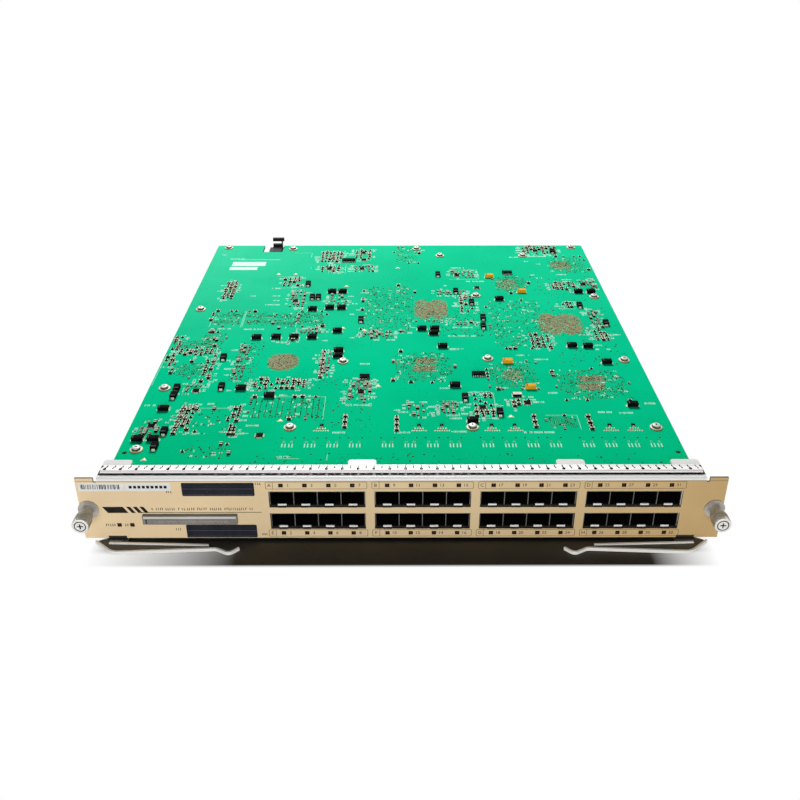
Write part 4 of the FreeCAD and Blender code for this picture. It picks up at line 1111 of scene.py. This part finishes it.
brown_words = (
    (-151.0, 21.2, 1), (-148.4, 21.2, 4), (-142.6, 21.2, 5), (-135.0, 21.2, 1), (-132.8, 21.2, 2), (-129.6, 21.2, 4),
    (-123.4, 21.2, 5), (-115.8, 21.2, 6), (-107.0, 21.2, 11), (-91.8, 21.2, 2), (-180.2, 33.0, 5), (-168.6, 33.0, 2),
    (-140.8, 8.6, 3), (-138.0, 36.3, 3), (-87.2, 2.9, 3), (-85.4, 40.2, 3),
)
strokes = []
for x, drop, count in brown_words:
    for i in range(count):
        left = x + i * 1.25
        strokes.append(printed("stroke", left, left + 0.34, drop, drop + 1.8, print_black, 0.03))
        if draw.random() < 0.6:
            level = drop + draw.choice((0.0, 0.7, 1.4))
            strokes.append(printed("stroke", left + 0.34, left + 0.9, level, level + 0.34, print_black, 0.03))
on_card(join("panel_words", strokes), "panel_paint")

stickers = [
    printed("sticker", -192.8, -165.3, 3.0, 8.8, sticker, 0.08, 0.4),
    printed("sticker", -164.9, -137.7, 3.0, 8.8, sticker, 0.08, 0.4),
]
on_card(join("panel_stickers", stickers), "panel_paint")
bars = []
x = -191.4
while x < -168.0:
    width = draw.choice((0.25, 0.4, 0.65))
    bars.append(printed("bar", x, x + width, 4.2, 7.6, print_black, 0.1))
    x += width + draw.choice((0.3, 0.5, 0.8))
for i in range(9):
    bars.append(printed("dash", -162.6 + i * 2.6, -160.8 + i * 2.6, 5.1, 7.0, print_black, 0.1))
on_card(join("sticker_marks", bars), "panel_paint")

port_print = []
for group in range(4):
    left = first_left + group * group_pitch
    for row, (drop, letter) in enumerate(zip(row_drops, ("ABCD"[group], "EFGH"[group]))):
        port_print.append(outline_print("row_frame", left - 1.6, left + 59.2, drop - 2.6, drop + 2.6, brown_line))
        port_print.append(printed("cell_line", left + 2.7, left + 2.95, drop - 2.6, drop + 2.6, brown_line))
        port_print.append(lettering("letter", letter, left + 0.7, drop, 2.4, print_black))
        for port in range(4):
            x = port_x[4 * group + port]
            number = 1 + 2 * port + 8 * group + row
            port_print.append(lettering("number", str(number), x + 4.2, drop, 2.2, print_black))
on_card(join("port_numbers", port_print), "panel_paint")


# Contact strip: beryllium-copper fingers, stamped, arched and bright plated, clipped over the
# flange so that they press on the next card in the chassis.
strip_metal, tree, shader, place = new_material("contact_plate")
strip_tone = toned(tree, place, (0.98, 0.95, 0.95), (0.92, 0.90, 0.89), 120.0, 1200.0, 0.35, 0.2, (1, 6, 1))
run_in = axes(tree, place)[1]
# Darker lines at the bends of the fingers, every 3.8 mm in depth: painted shade.
crease_shade = math_node(tree, "PINGPONG", less(tree, run_in, behind(5.4)), 1.9 * mm)
crease_shade = limits(tree, crease_shade, 0.35 * mm, 0.15 * mm, 0.0, 0.6)
strip_colour = blend_colours(tree, crease_shade, strip_tone["Colour"], (0.42, 0.34, 0.32))
wire(tree, shader, strip_colour, strip_tone, 0.02, 0.3, 0.2)
# Near-black painted shade on the walls of the slits and holes.
slit_shade = finish("slit_shade", (0.006, 0.006, 0.006), (0.012, 0.012, 0.012), 0.7, 0.1, specular=0.0)
low, high = (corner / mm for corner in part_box("contact_strip"))
length, crest = high.y - low.y, 2.6
modules = round((high.x - low.x) / 9.5)
module_width = (high.x - low.x) / modules
deselect()
bpy.ops.mesh.primitive_grid_add(x_subdivisions=2, y_subdivisions=16, size=1)
sheet = bpy.context.object
sheet.scale = (module_width * mm, length * mm, 1)
apply_all(sheet)
for v in sheet.data.vertices:
    run = v.co.y / mm + length / 2
    if run < crest:
        v.co.z = (0.9 + 1.0 * math.sin(run / crest * math.pi / 2)) * mm
    else:
        v.co.z = 1.9 * (0.5 + 0.5 * math.cos(math.pi * min(1.0, (run - crest) / 6.0))) * mm
solid = sheet.modifiers.new("sheet", "SOLIDIFY")
solid.thickness = 0.35 * mm
solid.offset = 1.0
apply_all(sheet)
slits = [
    slab("slit", (x - 0.36, crest - length / 2, -1), (x + 0.36, length, 4))
    for x in (-module_width / 4, module_width / 4)
]
slits.append(drum("hole", 1.05, 5, (-module_width / 4, crest - length / 2, 1.5), 16))
sink_recess(sheet, slits)
smooth(paint(sheet, strip_metal), 35)
rim_x, rim_y = module_width / 2 - 0.1, length / 2 - 0.1
# Slit and hole walls painted near black: painted shade.
paint(sheet, slit_shade, lambda c, n: abs(n.z) < 0.4 and abs(c.x) < rim_x and abs(c.y) < rim_y)
fingers = repeat("contact_fingers", sheet, [
    (low.x + (i + 0.5) * module_width, (low.y + high.y) / 2, low.z, 0.0) for i in range(modules)
])
on_card(fingers, "spring_bronze", "contact_strip")


# Port cages: nickel-plated sheet boxes folded and clipped together, four ports to a row, with
# a latch tongue under each mouth, painted white as painted highlight, round vents in the floor
# and black connectors inside.
cage_metal, tree, shader, place = new_material("cage_nickel")
# A darker copy of the nickel for the inside, and near black past the mouth: painted shade; the outer faces keep the
# lighter nickel.
shaded_cage_tone = toned(tree, place, (0.13, 0.12, 0.105), (0.18, 0.17, 0.15), 150.0, 1600.0, 0.4, 0.2, (1, 5, 5))
outer_tone = toned(tree, place, (0.44, 0.42, 0.38), (0.52, 0.50, 0.46), 60.0, 1600.0, 0.4, 0.2, (1, 5, 5))
spot = axes(tree, place)
shade = limits(tree, spot[1], behind(1.52), behind(1.7))
facing = normal_axes(tree)[0]
shade = larger(tree, shade, limits(tree, unsigned(tree, facing), 0.5, 0.7))
cage_boxes = [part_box("port_cage_" + letter) for letter in "abcd"]
under_side = limits(tree, spot[2], cage_boxes[0][0].z + 0.12 * mm, cage_boxes[0][0].z + 0.05 * mm)
bare = larger(tree, under_side, limits(tree, spot[1], behind(46.0), behind(47.0)))
for cage_box in cage_boxes:
    for corner in cage_box:
        off_side = unsigned(tree, less(tree, spot[0], corner.x))
        bare = larger(tree, bare, limits(tree, off_side, 0.12 * mm, 0.05 * mm))
bare = times(tree, bare, limits(tree, spot[1], behind(1.8), behind(2.0)))
shade = times(tree, shade, less(tree, 1.0, bare))
cage_colour = blend_colours(tree, bare, shaded_cage_tone["Colour"], outer_tone["Colour"])
# Faces past the mouth and faces turned sideways go near black: painted shade inside the ports.
cage_colour = blend_colours(tree, shade, cage_colour, (0.004, 0.004, 0.004))
# The cage edges beside the sills at the mouth are painted near black: painted shade.
sill_edge_shade = limits(tree, spot[1], behind(1.0), behind(0.8))
for sill_drop in sill_drops:
    off_sill = unsigned(tree, less(tree, spot[2], panel_top - (sill_drop - 0.4) * mm))
    sill_edge_shade = larger(tree, sill_edge_shade, limits(tree, off_sill, 0.9 * mm, 0.7 * mm))
sill_edge_shade = times(tree, sill_edge_shade, limits(tree, spot[1], behind(3.0), behind(2.0)))
cage_colour = blend_colours(tree, sill_edge_shade, cage_colour, (0.02, 0.017, 0.013))
wire(tree, shader, cage_colour, shaded_cage_tone, 0.01, 0.15)
tree.links.new(times(tree, bare, 0.8), shader.inputs["Metallic"])
# Black for the connectors, which are black, and painted shade in the vent holes.
black_and_hole_shade = finish("black_and_hole_shade", (0.003, 0.003, 0.003), (0.006, 0.006, 0.006), 0.6, 0.15, 0.0, 250.0, specular=0.1)
for letter in "abcd":
    dress(cage_metal, "port_cage_" + letter, "port_partitions_" + letter)
    dress(black_and_hole_shade, "port_connectors_" + letter)
# Near-white painted highlight for the latch tongues.
latch_highlight = finish("latch_highlight", (0.92, 0.90, 0.87), (0.97, 0.96, 0.94), 0.3, 0.2, 0.0, 300.0, specular=0.3)
lips = []
for x in port_x:
    for sill_drop in sill_drops:
        low_z = top_of_panel - sill_drop + 0.4
        lip = slab("lip", (x - 2.6, front_mm + 0.9, low_z), (x + 2.6, front_mm + 1.3, low_z + 1.5), 0.1)
        pick(lip, up)
        bpy.ops.transform.translate(value=(0, 0.3 * mm, 0))
        leave_edit()
        lips.append(paint(lip, latch_highlight))
on_card(join("latch_lips", lips), "cage_steel")

vents = []
for letter in "abcd":
    low, high = (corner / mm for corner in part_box("port_cage_" + letter))
    vents += [
        (low.x + (i + 0.5) * (high.x - low.x) / 16, front_mm + 14.0 + j * 5.5, low.z, math.pi / 12)
        for i in range(16) for j in range(5)
    ]
vent = drum("vent", 1.2, 0.04, (0, 0, 0), 12)
inset_faces(vent, down, 0.15, 0.03)
paint(vent, cage_metal)
# The heart of each vent is painted near black: painted shade of the hole.
paint(vent, black_and_hole_shade, lambda c, n: n.z < -0.9 and math.hypot(c.x, c.y) < 0.1)
on_card(repeat("cage_vents", vent, vents), "cage_steel")


# Light pipes: clear bars moulded in combs that bring the lamps on the board to square windows
# in the panel. Their ends are painted near black as painted shade, with a brownish heart.
pipe_clear, tree, shader, place = new_material("pipe_clear")
pipe_tone = toned(tree, place, (0.50, 0.54, 0.54), (0.62, 0.66, 0.66), 90.0, 2500.0, 0.14, 0.1)
run_in = axes(tree, place)[1]
end_shade = limits(tree, run_in, behind(2.6), behind(1.6))
wire(tree, shader, blend_colours(tree, end_shade, pipe_tone["Colour"], (0.009, 0.007, 0.006)), pipe_tone, 0.01)
tree.links.new(limits(tree, end_shade, 0.0, 1.0, 0.5, 0.03), shader.inputs["Specular IOR Level"])
pipe_heart = finish("pipe_heart", (0.06, 0.022, 0.012), (0.10, 0.04, 0.022), 0.5, 0.1, 0.0, 900.0, specular=0.05)
dress(pipe_clear, "light_pipes_upper", "light_pipes_lower", "status_light_pipes")
window_places = [(x, drop) for x in port_x for drop in row_drops]
window_places += [(inset - panel_half / mm, 33.9) for inset in (22.2, 30.0)]
hearts = []
for x, drop in window_places:
    heart_low = (x - 0.65, front_mm + 0.34, top_of_panel - drop - 0.65)
    hearts.append(paint(slab("heart", heart_low, (x + 0.65, front_mm + 0.5, heart_low[2] + 1.3), 0.12), pipe_heart))
on_card(join("indicator_hearts", hearts), "light_pipe")


# Label tray: a grey moulded bezel with a thin blade that carries the address label; it slides
# in a dark sleeve behind the panel.
tray_grey = finish("tray_grey", (0.21, 0.20, 0.18), (0.26, 0.25, 0.23), 0.45, 0.15, 0.0, 60.0, specular=0.1)
tray_top_highlight = finish("tray_top_highlight", (0.62, 0.60, 0.56), (0.68, 0.66, 0.62), 0.4, 0.15, 0.0, 60.0)
guide_dark = finish("guide_dark", (0.03, 0.03, 0.032), (0.045, 0.045, 0.045), 0.5, 0.1, 0.0, 80.0)
dress(tray_grey, "label_tray")
dress(guide_dark, "label_tray_guide")
low, high = (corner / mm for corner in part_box("label_tray"))
# A light band along the top of the bezel front: painted highlight.
band = slab("tray_highlight_band", (low.x + 0.6, low.y - 0.12, high.z - 2.0), (high.x - 0.6, low.y + 0.3, high.z - 0.5), 0.1)
label_high = (high.x - 1.4, low.y + 0.3, high.z - 2.4)
card_label = slab("tray_label", (low.x + 5.2, low.y - 0.1, low.z + 0.7), label_high, 0.08)
# Two black dots where there are holes: painted shade.
dots = [
    drum("tray_hole_shade", 0.55, 0.3, (low.x + 2.2, low.y - 0.02, z), 16, "Y") for z in (low.z + 1.4, low.z + 3.0)
]
pale_print = finish("print_pale", (0.30, 0.29, 0.27), (0.36, 0.35, 0.33), 0.5, 0.1, 0.0, 200.0)
rows = []
for z in (low.z + 1.2, low.z + 2.3):
    x = low.x + 7.0
    while x < high.x - 6.0:
        run = draw.uniform(0.6, 2.2)
        rows.append(paint(slab("row", (x, low.y - 0.14, z), (x + run, low.y, z + 0.5)), pale_print))
        x += run + draw.choice((0.4, 0.4, 1.4))
trim = [paint(band, tray_top_highlight), paint(card_label, tray_grey)] + [paint(d, epoxy) for d in dots] + rows
mount(join("tray_trim", trim), "label_tray", "tray_plastic")


# Captive screws: turned and nickel plated, with a knurled hollow knob that slides over a coil
# spring and the neck of a ferrule swaged into the panel. A ring behind the panel keeps them
# from falling out.
nickel = finish("nickel_turned", (0.42, 0.40, 0.36), (0.54, 0.52, 0.47), 0.3, 0.16, 0.5, 200.0, specular=0.3)
nickel_face = finish("nickel_face", (0.76, 0.75, 0.71), (0.84, 0.83, 0.80), 0.3, 0.16, 0.2, 300.0, specular=0.3)
knob_length, knob_face, knob_wall, ridges = 11.5, 3.5, 1.0, 44
wire_radius, rounds, push_travel = 0.3, 4, 4.0
for name in ("left", "right"):
    node = "captive_screw_" + name
    low, high = (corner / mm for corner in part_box(node))
    x, z = (low.x + high.x) / 2, (low.z + high.z) / 2
    front, tip, radius = low.y, high.y, (high.x - low.x) / 2

    def off_axis(c):
        return math.hypot(c.x - x, c.z - z)

    grip = knob_length - 3.2
    knob = drum("knob", radius, grip, (x, front + grip / 2, z), 2 * ridges, "Y")
    bevel_faces(knob, lambda c, n: abs(n.y) > 0.9, 0.7, 2)
    for v in knob.data.vertices:
        off_x, off_z = v.co.x - x * mm, v.co.z - z * mm
        if math.hypot(off_x, off_z) > (radius - 0.15) * mm:
            if round(math.atan2(off_z, off_x) / math.pi * ridges) % 2:
                v.co.x -= off_x * 0.09
                v.co.z -= off_z * 0.09
    for step, sink in ((0.8, 0.0), (0.35, 0.35), (0.3, -0.35)):
        pick(knob, lambda c, n: n.y < -0.9 and off_axis(c) < 0.1)
        bpy.ops.mesh.inset(thickness=step * mm)
        bpy.ops.transform.translate(value=(0, sink * mm, 0))
        leave_edit()
    cutters = cross_cutter("cutter", 4.2, 0.9, 2.0, 0.0)
    for cutter in cutters:
        cutter.data.transform(
            Matrix.Translation((x * mm, front * mm, z * mm)) @ Matrix.Rotation(quarter, 4, "X")
        )
    depth = knob_length - knob_face + 1
    hollow = drum("hollow", radius - knob_wall, depth, (x, front + knob_face + depth / 2, z), 40, "Y")
    collar = drum("collar", radius - 0.55, 3.4, (x, front + knob_length - 1.7, z), 40, "Y")
    sink_recess(knob, cutters + [hollow.copy()])
    paint(knob, nickel)
    paint(knob, nickel_face, lambda c, n: n.y < -0.5 and c.y < front + 1.0)
    # The step walls round the recess and the cross recess are painted near black: painted shade.
    paint(knob, painted_recess_shade, lambda c, n: 2.8 < off_axis(c) < 3.5 and abs(n.y) < 0.9 and c.y < front + 0.6)
    paint(knob, painted_recess_shade, lambda c, n: off_axis(c) < 2.2 and front + 0.1 < c.y < front + 2.2)
    sink_recess(collar, [hollow])
    paint(collar, nickel)
    neck = drum("neck", 1.6, tip - front - knob_face, (x, (front + knob_face + tip) / 2, z), 24, "Y")
    paint(neck, nickel)
    thread = drum("thread", 1.95, 0.36, (x, tip - 0.18, z), 24, "Y")
    bevel_faces(thread, lambda c, n: abs(n.y) > 0.9, 0.16, 1)
    array(thread, 12, (0, -0.375, 0))
    paint(apply_all(thread), nickel)
    screw = smooth(join("captive_screw_turned_" + name, [knob, collar, neck, thread]), 30)
    mount(screw, node, "bright_steel", node)
    dress(nickel, "ferrule_" + name, "retainer_" + name)
    low, high = (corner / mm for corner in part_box("captive_spring_" + name))
    deselect()
    bpy.ops.mesh.primitive_circle_add(
        vertices=8, radius=wire_radius * mm, location=((high.x - low.x) / 2 * mm - wire_radius * mm, 0, 0)
    )
    coil = apply_all(bpy.context.object)
    wind = coil.modifiers.new("wind", "SCREW")
    wind.axis = "Y"
    wind.screw_offset = (high.y - low.y - 2 * wire_radius) / rounds * mm
    wind.iterations = rounds
    wind.steps = 28
    wind.render_steps = 28
    apply_all(coil)
    bpy.ops.object.mode_set(mode="EDIT")
    bpy.ops.mesh.select_all(action="SELECT")
    bpy.ops.mesh.fill_holes(sides=0)
    bpy.ops.mesh.select_all(action="SELECT")
    bpy.ops.mesh.normals_make_consistent(inside=False)
    leave_edit()
    coil.data.transform(Matrix.Translation((x * mm, (low.y + wire_radius) * mm, z * mm)))
    coil.name = "captive_coil_" + name
    mount(smooth(paint(coil, nickel)), "card", "bright_steel", "captive_spring_" + name)
    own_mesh(coil)


# Ejector levers: zinc-plated steel pressings with upturned edges and a curled finger end,
# riveted under small brackets on the back of the panel.
lever_zinc, tree, shader, place = new_material("lever_zinc")
lever_tone = toned(tree, place, (0.95, 0.93, 0.87), (0.98, 0.97, 0.93), 45.0, 1500.0, 0.3, 0.2, (1, 6, 6))
height = axes(tree, place)[2]
# The upward-facing web low on the lever is painted near black: painted shade.
web_shade = limits(tree, height, 2.0 * mm, 1.8 * mm)
facing = normal_axes(tree)[2]
web_shade = times(tree, web_shade, limits(tree, facing, 0.5, 0.8))
wire(tree, shader, blend_colours(tree, web_shade, lever_tone["Colour"], (0.05, 0.05, 0.038)), lever_tone, 0.02)
bracket_dark = finish("bracket_dark", (0.035, 0.034, 0.028), (0.055, 0.053, 0.045), 0.4, 0.15, 0.2, 120.0,
                      specular=0.15)
for name in ("left", "right"):
    dress(lever_zinc, "ejector_lever_" + name)
    dress(bracket_dark, "lever_pivot_" + name, "lever_bracket_" + name)


# Stiffeners, backplane connectors and key: aluminium bars and dark moulded housings screwed
# under the board; the key stands in the notch of its back edge.
mill_aluminium = finish("mill_aluminium", (0.56, 0.56, 0.57), (0.64, 0.64, 0.65), 0.36, 0.15, 0.8, 40.0, 1600.0, 0.02,
                        stretch=(6, 1, 6))
dress(mill_aluminium, "stiffener_left", "stiffener_right", "stiffener_front", "stiffener_centre")
housing_dark = finish("housing_dark", (0.03, 0.03, 0.033), (0.05, 0.05, 0.054), 0.45, 0.15, 0.0, 70.0, specular=0.15)
dress(housing_dark, "signal_connector", "power_connector")
key_black = finish("key_black", (0.006, 0.006, 0.007), (0.012, 0.012, 0.012), 0.38, 0.15, 0.0, 120.0, specular=0.1)
dress(key_black, "alignment_key")
contact_gold = finish("contact_gold", (0.80, 0.58, 0.22), (0.86, 0.66, 0.32), 0.28, 0.15, 0.8, 200.0)
under_mm = board_bottom / mm


def contact_comb(name, columns, levels, width, height, length):
    """Stack of flat contacts with thinned tips, as it stands in one pocket of a connector."""
    made = []
    for dx in columns:
        for dz in levels:
            low = (dx - width / 2, -length / 2, dz - height / 2)
            blade = slab(name, low, (dx + width / 2, length / 2, dz + height / 2))
            pick(blade, lambda c, n: n.y > 0.9)
            extrude(y=0.6)
            bpy.ops.transform.resize(value=(0.7, 1, 0.4), center_override=(dx * mm, 0, dz * mm))
            leave_edit()
            made.append(paint(blade, contact_gold))
    return join(name, made)


contact_y = front_mm + reach - 3.6
pitch = signal_span / 16
comb = contact_comb("comb", (-1.2, 1.2), (-2.4, -0.8, 0.8, 2.4), 0.6, 0.35, 4.6)
spots = [
    (signal_x + (i - 7.5) * pitch, contact_y, under_mm - drop, 0.0) for i in range(16) for drop in (17.25, 6.75)
]
on_card(repeat("signal_contacts", comb, spots), "backplane_housing")
pitch = power_span / 6
comb = contact_comb("comb", (-2.6, 2.6), (-2.0, 2.0), 4.4, 0.9, 4.6)
spots = [(power_x + (i - 2.5) * pitch, contact_y, under_mm - 9.0, 0.0) for i in range(6)]
on_card(repeat("power_blades", comb, spots), "backplane_housing")


# Chips and heat sinks under the board: dark packages with metal lids, pressed against finned
# aluminium extrusions.
sink_metal = finish("sink_aluminium", (0.52, 0.53, 0.54), (0.62, 0.63, 0.64), 0.4, 0.15, 0.8, 30.0, 1200.0, 0.02,
                    stretch=(1, 8, 8))
for node in nodes:
    if node.startswith("heatsink_"):
        dress(sink_metal, node)
chip_pack, tree, shader, place = new_material("chip_package")
lid_tone = toned(tree, place, (0.42, 0.42, 0.41), (0.50, 0.50, 0.48), 90.0, 1400.0, 0.35, 0.15)
height = axes(tree, place)[2]
lid_mask = limits(tree, height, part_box("cooled_chips")[0].z + 1.3 * mm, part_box("cooled_chips")[0].z + 1.1 * mm)
wire(tree, shader, blend_colours(tree, lid_mask, (0.02, 0.13, 0.06), lid_tone["Colour"]), lid_tone, 0.02)
tree.links.new(times(tree, lid_mask, 0.7), shader.inputs["Metallic"])
dress(chip_pack, "cooled_chips", "bare_chips")
dress(epoxy, "memory_chips")


# Power parts and small parts under the board: converter bricks with an aluminium plate, bright
# capacitor cans on square feet, pressed ferrite chokes, and chip parts in the free places.
brick_black = finish("brick_black", (0.012, 0.012, 0.014), (0.025, 0.025, 0.026), 0.4, 0.15, 0.0, 60.0, specular=0.2)
can_bright = finish("can_bright", (0.62, 0.62, 0.63), (0.70, 0.70, 0.71), 0.26, 0.15, 0.8, 150.0)
ferrite = finish("ferrite_grey", (0.06, 0.06, 0.064), (0.09, 0.09, 0.09), 0.6, 0.15, 0.0, 200.0, specular=0.15)
dress(brick_black, "power_bricks")
dress(ferrite, "chokes")
plates = []
for share in (817, 687):
    x, y = across(-311), front_mm + along(share)
    plate = slab("plate", (x - 27.5, y - 17, under_mm - 12.0), (x + 27.5, y + 17, under_mm - 11.4), 0.2)
    holes = [
        drum("hole", 1.6, 2, (x + dx, y + dy, under_mm - 12.0), 20) for dx in (-24.0, 24.0) for dy in (-13.5, 13.5)
    ]
    sink_recess(plate, holes)
    ridge = slab("ridge", (x - 14, y - 16.5, under_mm - 12.6), (x + 14, y + 16.5, under_mm - 12.0), 0.3)
    plates += [paint(plate, mill_aluminium), paint(ridge, ferrite)]
on_card(join("brick_plates", plates), "brick_case")

can = drum("can", 5.0, 10.6, (0, 0, -7.2), 32)
bevel_faces(can, down, 0.8, 3)
groove = drum("groove", 4.5, 0.8, (0, 0, -1.8), 32)
foot = slab("foot", (-5.2, -5.2, -1.5), (5.2, 5.2, 0), 0.5)
mark = slab("mark", (-4.2, 1.6, -12.52), (4.2, 2.9, -12.45), 0.02)
parts = [paint(can, can_bright), paint(groove, can_bright), paint(foot, epoxy), paint(mark, epoxy)]
spots = [
    (across(x), front_mm + along(d), under_mm, 0.0) for x in (-593, 0) for d in (759, 799, 840)
]
cans = repeat("capacitor_can_set", smooth(join("can", parts), 35), spots)
on_card(cans, "can_aluminium", "bulk_capacitors")

core = drum("core", 4.3, 0.4, (0, 0, -7.5), 24)
inset_faces(core, down, 0.6, 0.2)
ends = [slab("end", (x - 0.3, -2.5, -3.0), (x + 0.3, 2.5, 0), 0.1) for x in (-6.1, 6.1)]
core = join("core", [paint(core, brick_black)] + [paint(end, tin) for end in ends])
spots = [
    (across(x), front_mm + along(d), under_mm, 0.0)
    for x, d in ((-169, 428), (-169, 480), (537, 817), (638, 817), (-339, 83), (-237, 83))
]
on_card(repeat("choke_cores", core, spots), "choke_ferrite")

under_places = []
graph = bpy.context.view_layer.depsgraph
for i in range(900):
    x, depth = draw.uniform(-165, 165), draw.uniform(75, 395)
    if math.sin(x / 17.0) * math.cos(depth / 13.0) < 0.1:
        continue
    found, _, _, _, hit, _ = bpy.context.scene.ray_cast(graph, (x * mm, behind(depth), -0.05), (0, 0, 1))
    if found and hit.name == "main_board":
        under_places.append((x, front_mm + depth, under_mm, draw.choice((0.0, quarter))))
flipped = chip_part("under_parts", 2.2, 1.6, 1.0, ceramic_khaki)
flipped.data.transform(Matrix.Rotation(math.pi, 4, "X"))
on_card(repeat("under_parts", flipped, under_places))


# Studio: a pale floor, a soft lamp above and behind the card and one in front of it, white
# surroundings, and the camera where the photographer stood.
deselect()
bpy.ops.mesh.primitive_plane_add(size=8, location=(0, 0, 0))
floor = bpy.context.object
floor.name = "studio_floor"
floor_pale, tree, shader, place = new_material("floor_pale")
speck = toned(tree, place, (0.93, 0.93, 0.93), (0.95, 0.95, 0.95), 3.0, 60.0, 0.7, 0.1)
tree.links.new(speck["Roughness"], shader.inputs["Roughness"])
shader.inputs["Specular IOR Level"].default_value = 0.0
spot = axes(tree, place)
left_fade = limits(tree, spot[0], -0.19, -0.10)
right_fade = limits(tree, spot[0], 0.19, 0.15)
near_fade = limits(tree, spot[1], behind(-25.0), behind(-22.5))
far_fade = limits(tree, spot[1], behind(60.0), behind(50.0))
levers = limits(tree, unsigned(tree, spot[0]), 0.19, 0.17)
levers = times(tree, levers, limits(tree, spot[1], behind(-14), behind(-9)))
side_fade = larger(tree, times(tree, left_fade, right_fade), levers)
shadow_zone = times(tree, side_fade, times(tree, near_fade, far_fade))
# Inside the shadow zone the floor's own colour is painted dark: painted shadow in front of and under the card.
tree.links.new(blend_colours(tree, shadow_zone, speck["Colour"], (0.17, 0.16, 0.14)), shader.inputs["Base Color"])
white = add_node(tree, "Emission", {"Color": (1, 1, 1, 1), "Strength": 1.0}).outputs[0]
white_mask = times(tree, seen_rays(tree), less(tree, 1.0, shadow_zone))
mixed = add_node(tree, "MixShader", {0: white_mask, 1: shader.outputs[0], 2: white}).outputs[0]
from_below = add_node(tree, "NewGeometry").outputs["Backfacing"]
clear = add_node(tree, "BsdfTransparent").outputs[0]
mixed = add_node(tree, "MixShader", {0: from_below, 1: mixed, 2: clear}).outputs[0]
tree.links.new(mixed, tree.nodes["Material Output"].inputs["Surface"])
floor.data.materials.append(floor_pale)

world = bpy.data.worlds.new("studio_white")
world.use_nodes = True
bpy.context.scene.world = world
tree = world.node_tree
backdrop = tree.nodes["Background"]
backdrop.inputs["Color"].default_value = (1, 1, 1, 1)
tree.links.new(limits(tree, seen_rays(tree), 0.0, 1.0, 0.06, 1.0), backdrop.inputs["Strength"])


def lamp(name, place, target, size, watts, skipped=None):
    """Round soft lamp aimed at a target; skipped is a collection that it leaves unlit."""
    data = bpy.data.lights.new(name, "AREA")
    data.shape = "DISK"
    data.size = size
    data.energy = watts
    holder = bpy.data.objects.new(name, data)
    bpy.context.scene.collection.objects.link(holder)
    holder.location = place
    holder.rotation_euler = (Vector(target) - Vector(place)).to_track_quat("-Z", "Y").to_euler()
    if skipped:
        holder.light_linking.receiver_collection = skipped


unlit = bpy.data.collections.new("lamps_skip_floor")
unlit.objects.link(floor)
unlit.collection_objects[0].light_linking.link_state = "EXCLUDE"
lamp("key_light", (-0.1, 1.1, 1.15), (0, 0, 0.04), 0.7, 27.0)
lamp("front_light", (-0.05, face_y - 1.4, 0.22), (0, face_y, 0.03), 0.9, 18.0, unlit)

camera = bpy.data.cameras.new("camera")
camera.lens = 41.79
camera.sensor_width = 36.0
viewer = bpy.data.objects.new("camera", camera)
bpy.context.scene.collection.objects.link(viewer)
viewer.location = (-2.2 * mm, behind(-458.5), 355.0 * mm)
viewer.rotation_euler = (math.radians(60.90), 0, -0.0026)
bpy.context.scene.camera = viewer
bpy.context.scene.view_settings.view_transform = "Standard"
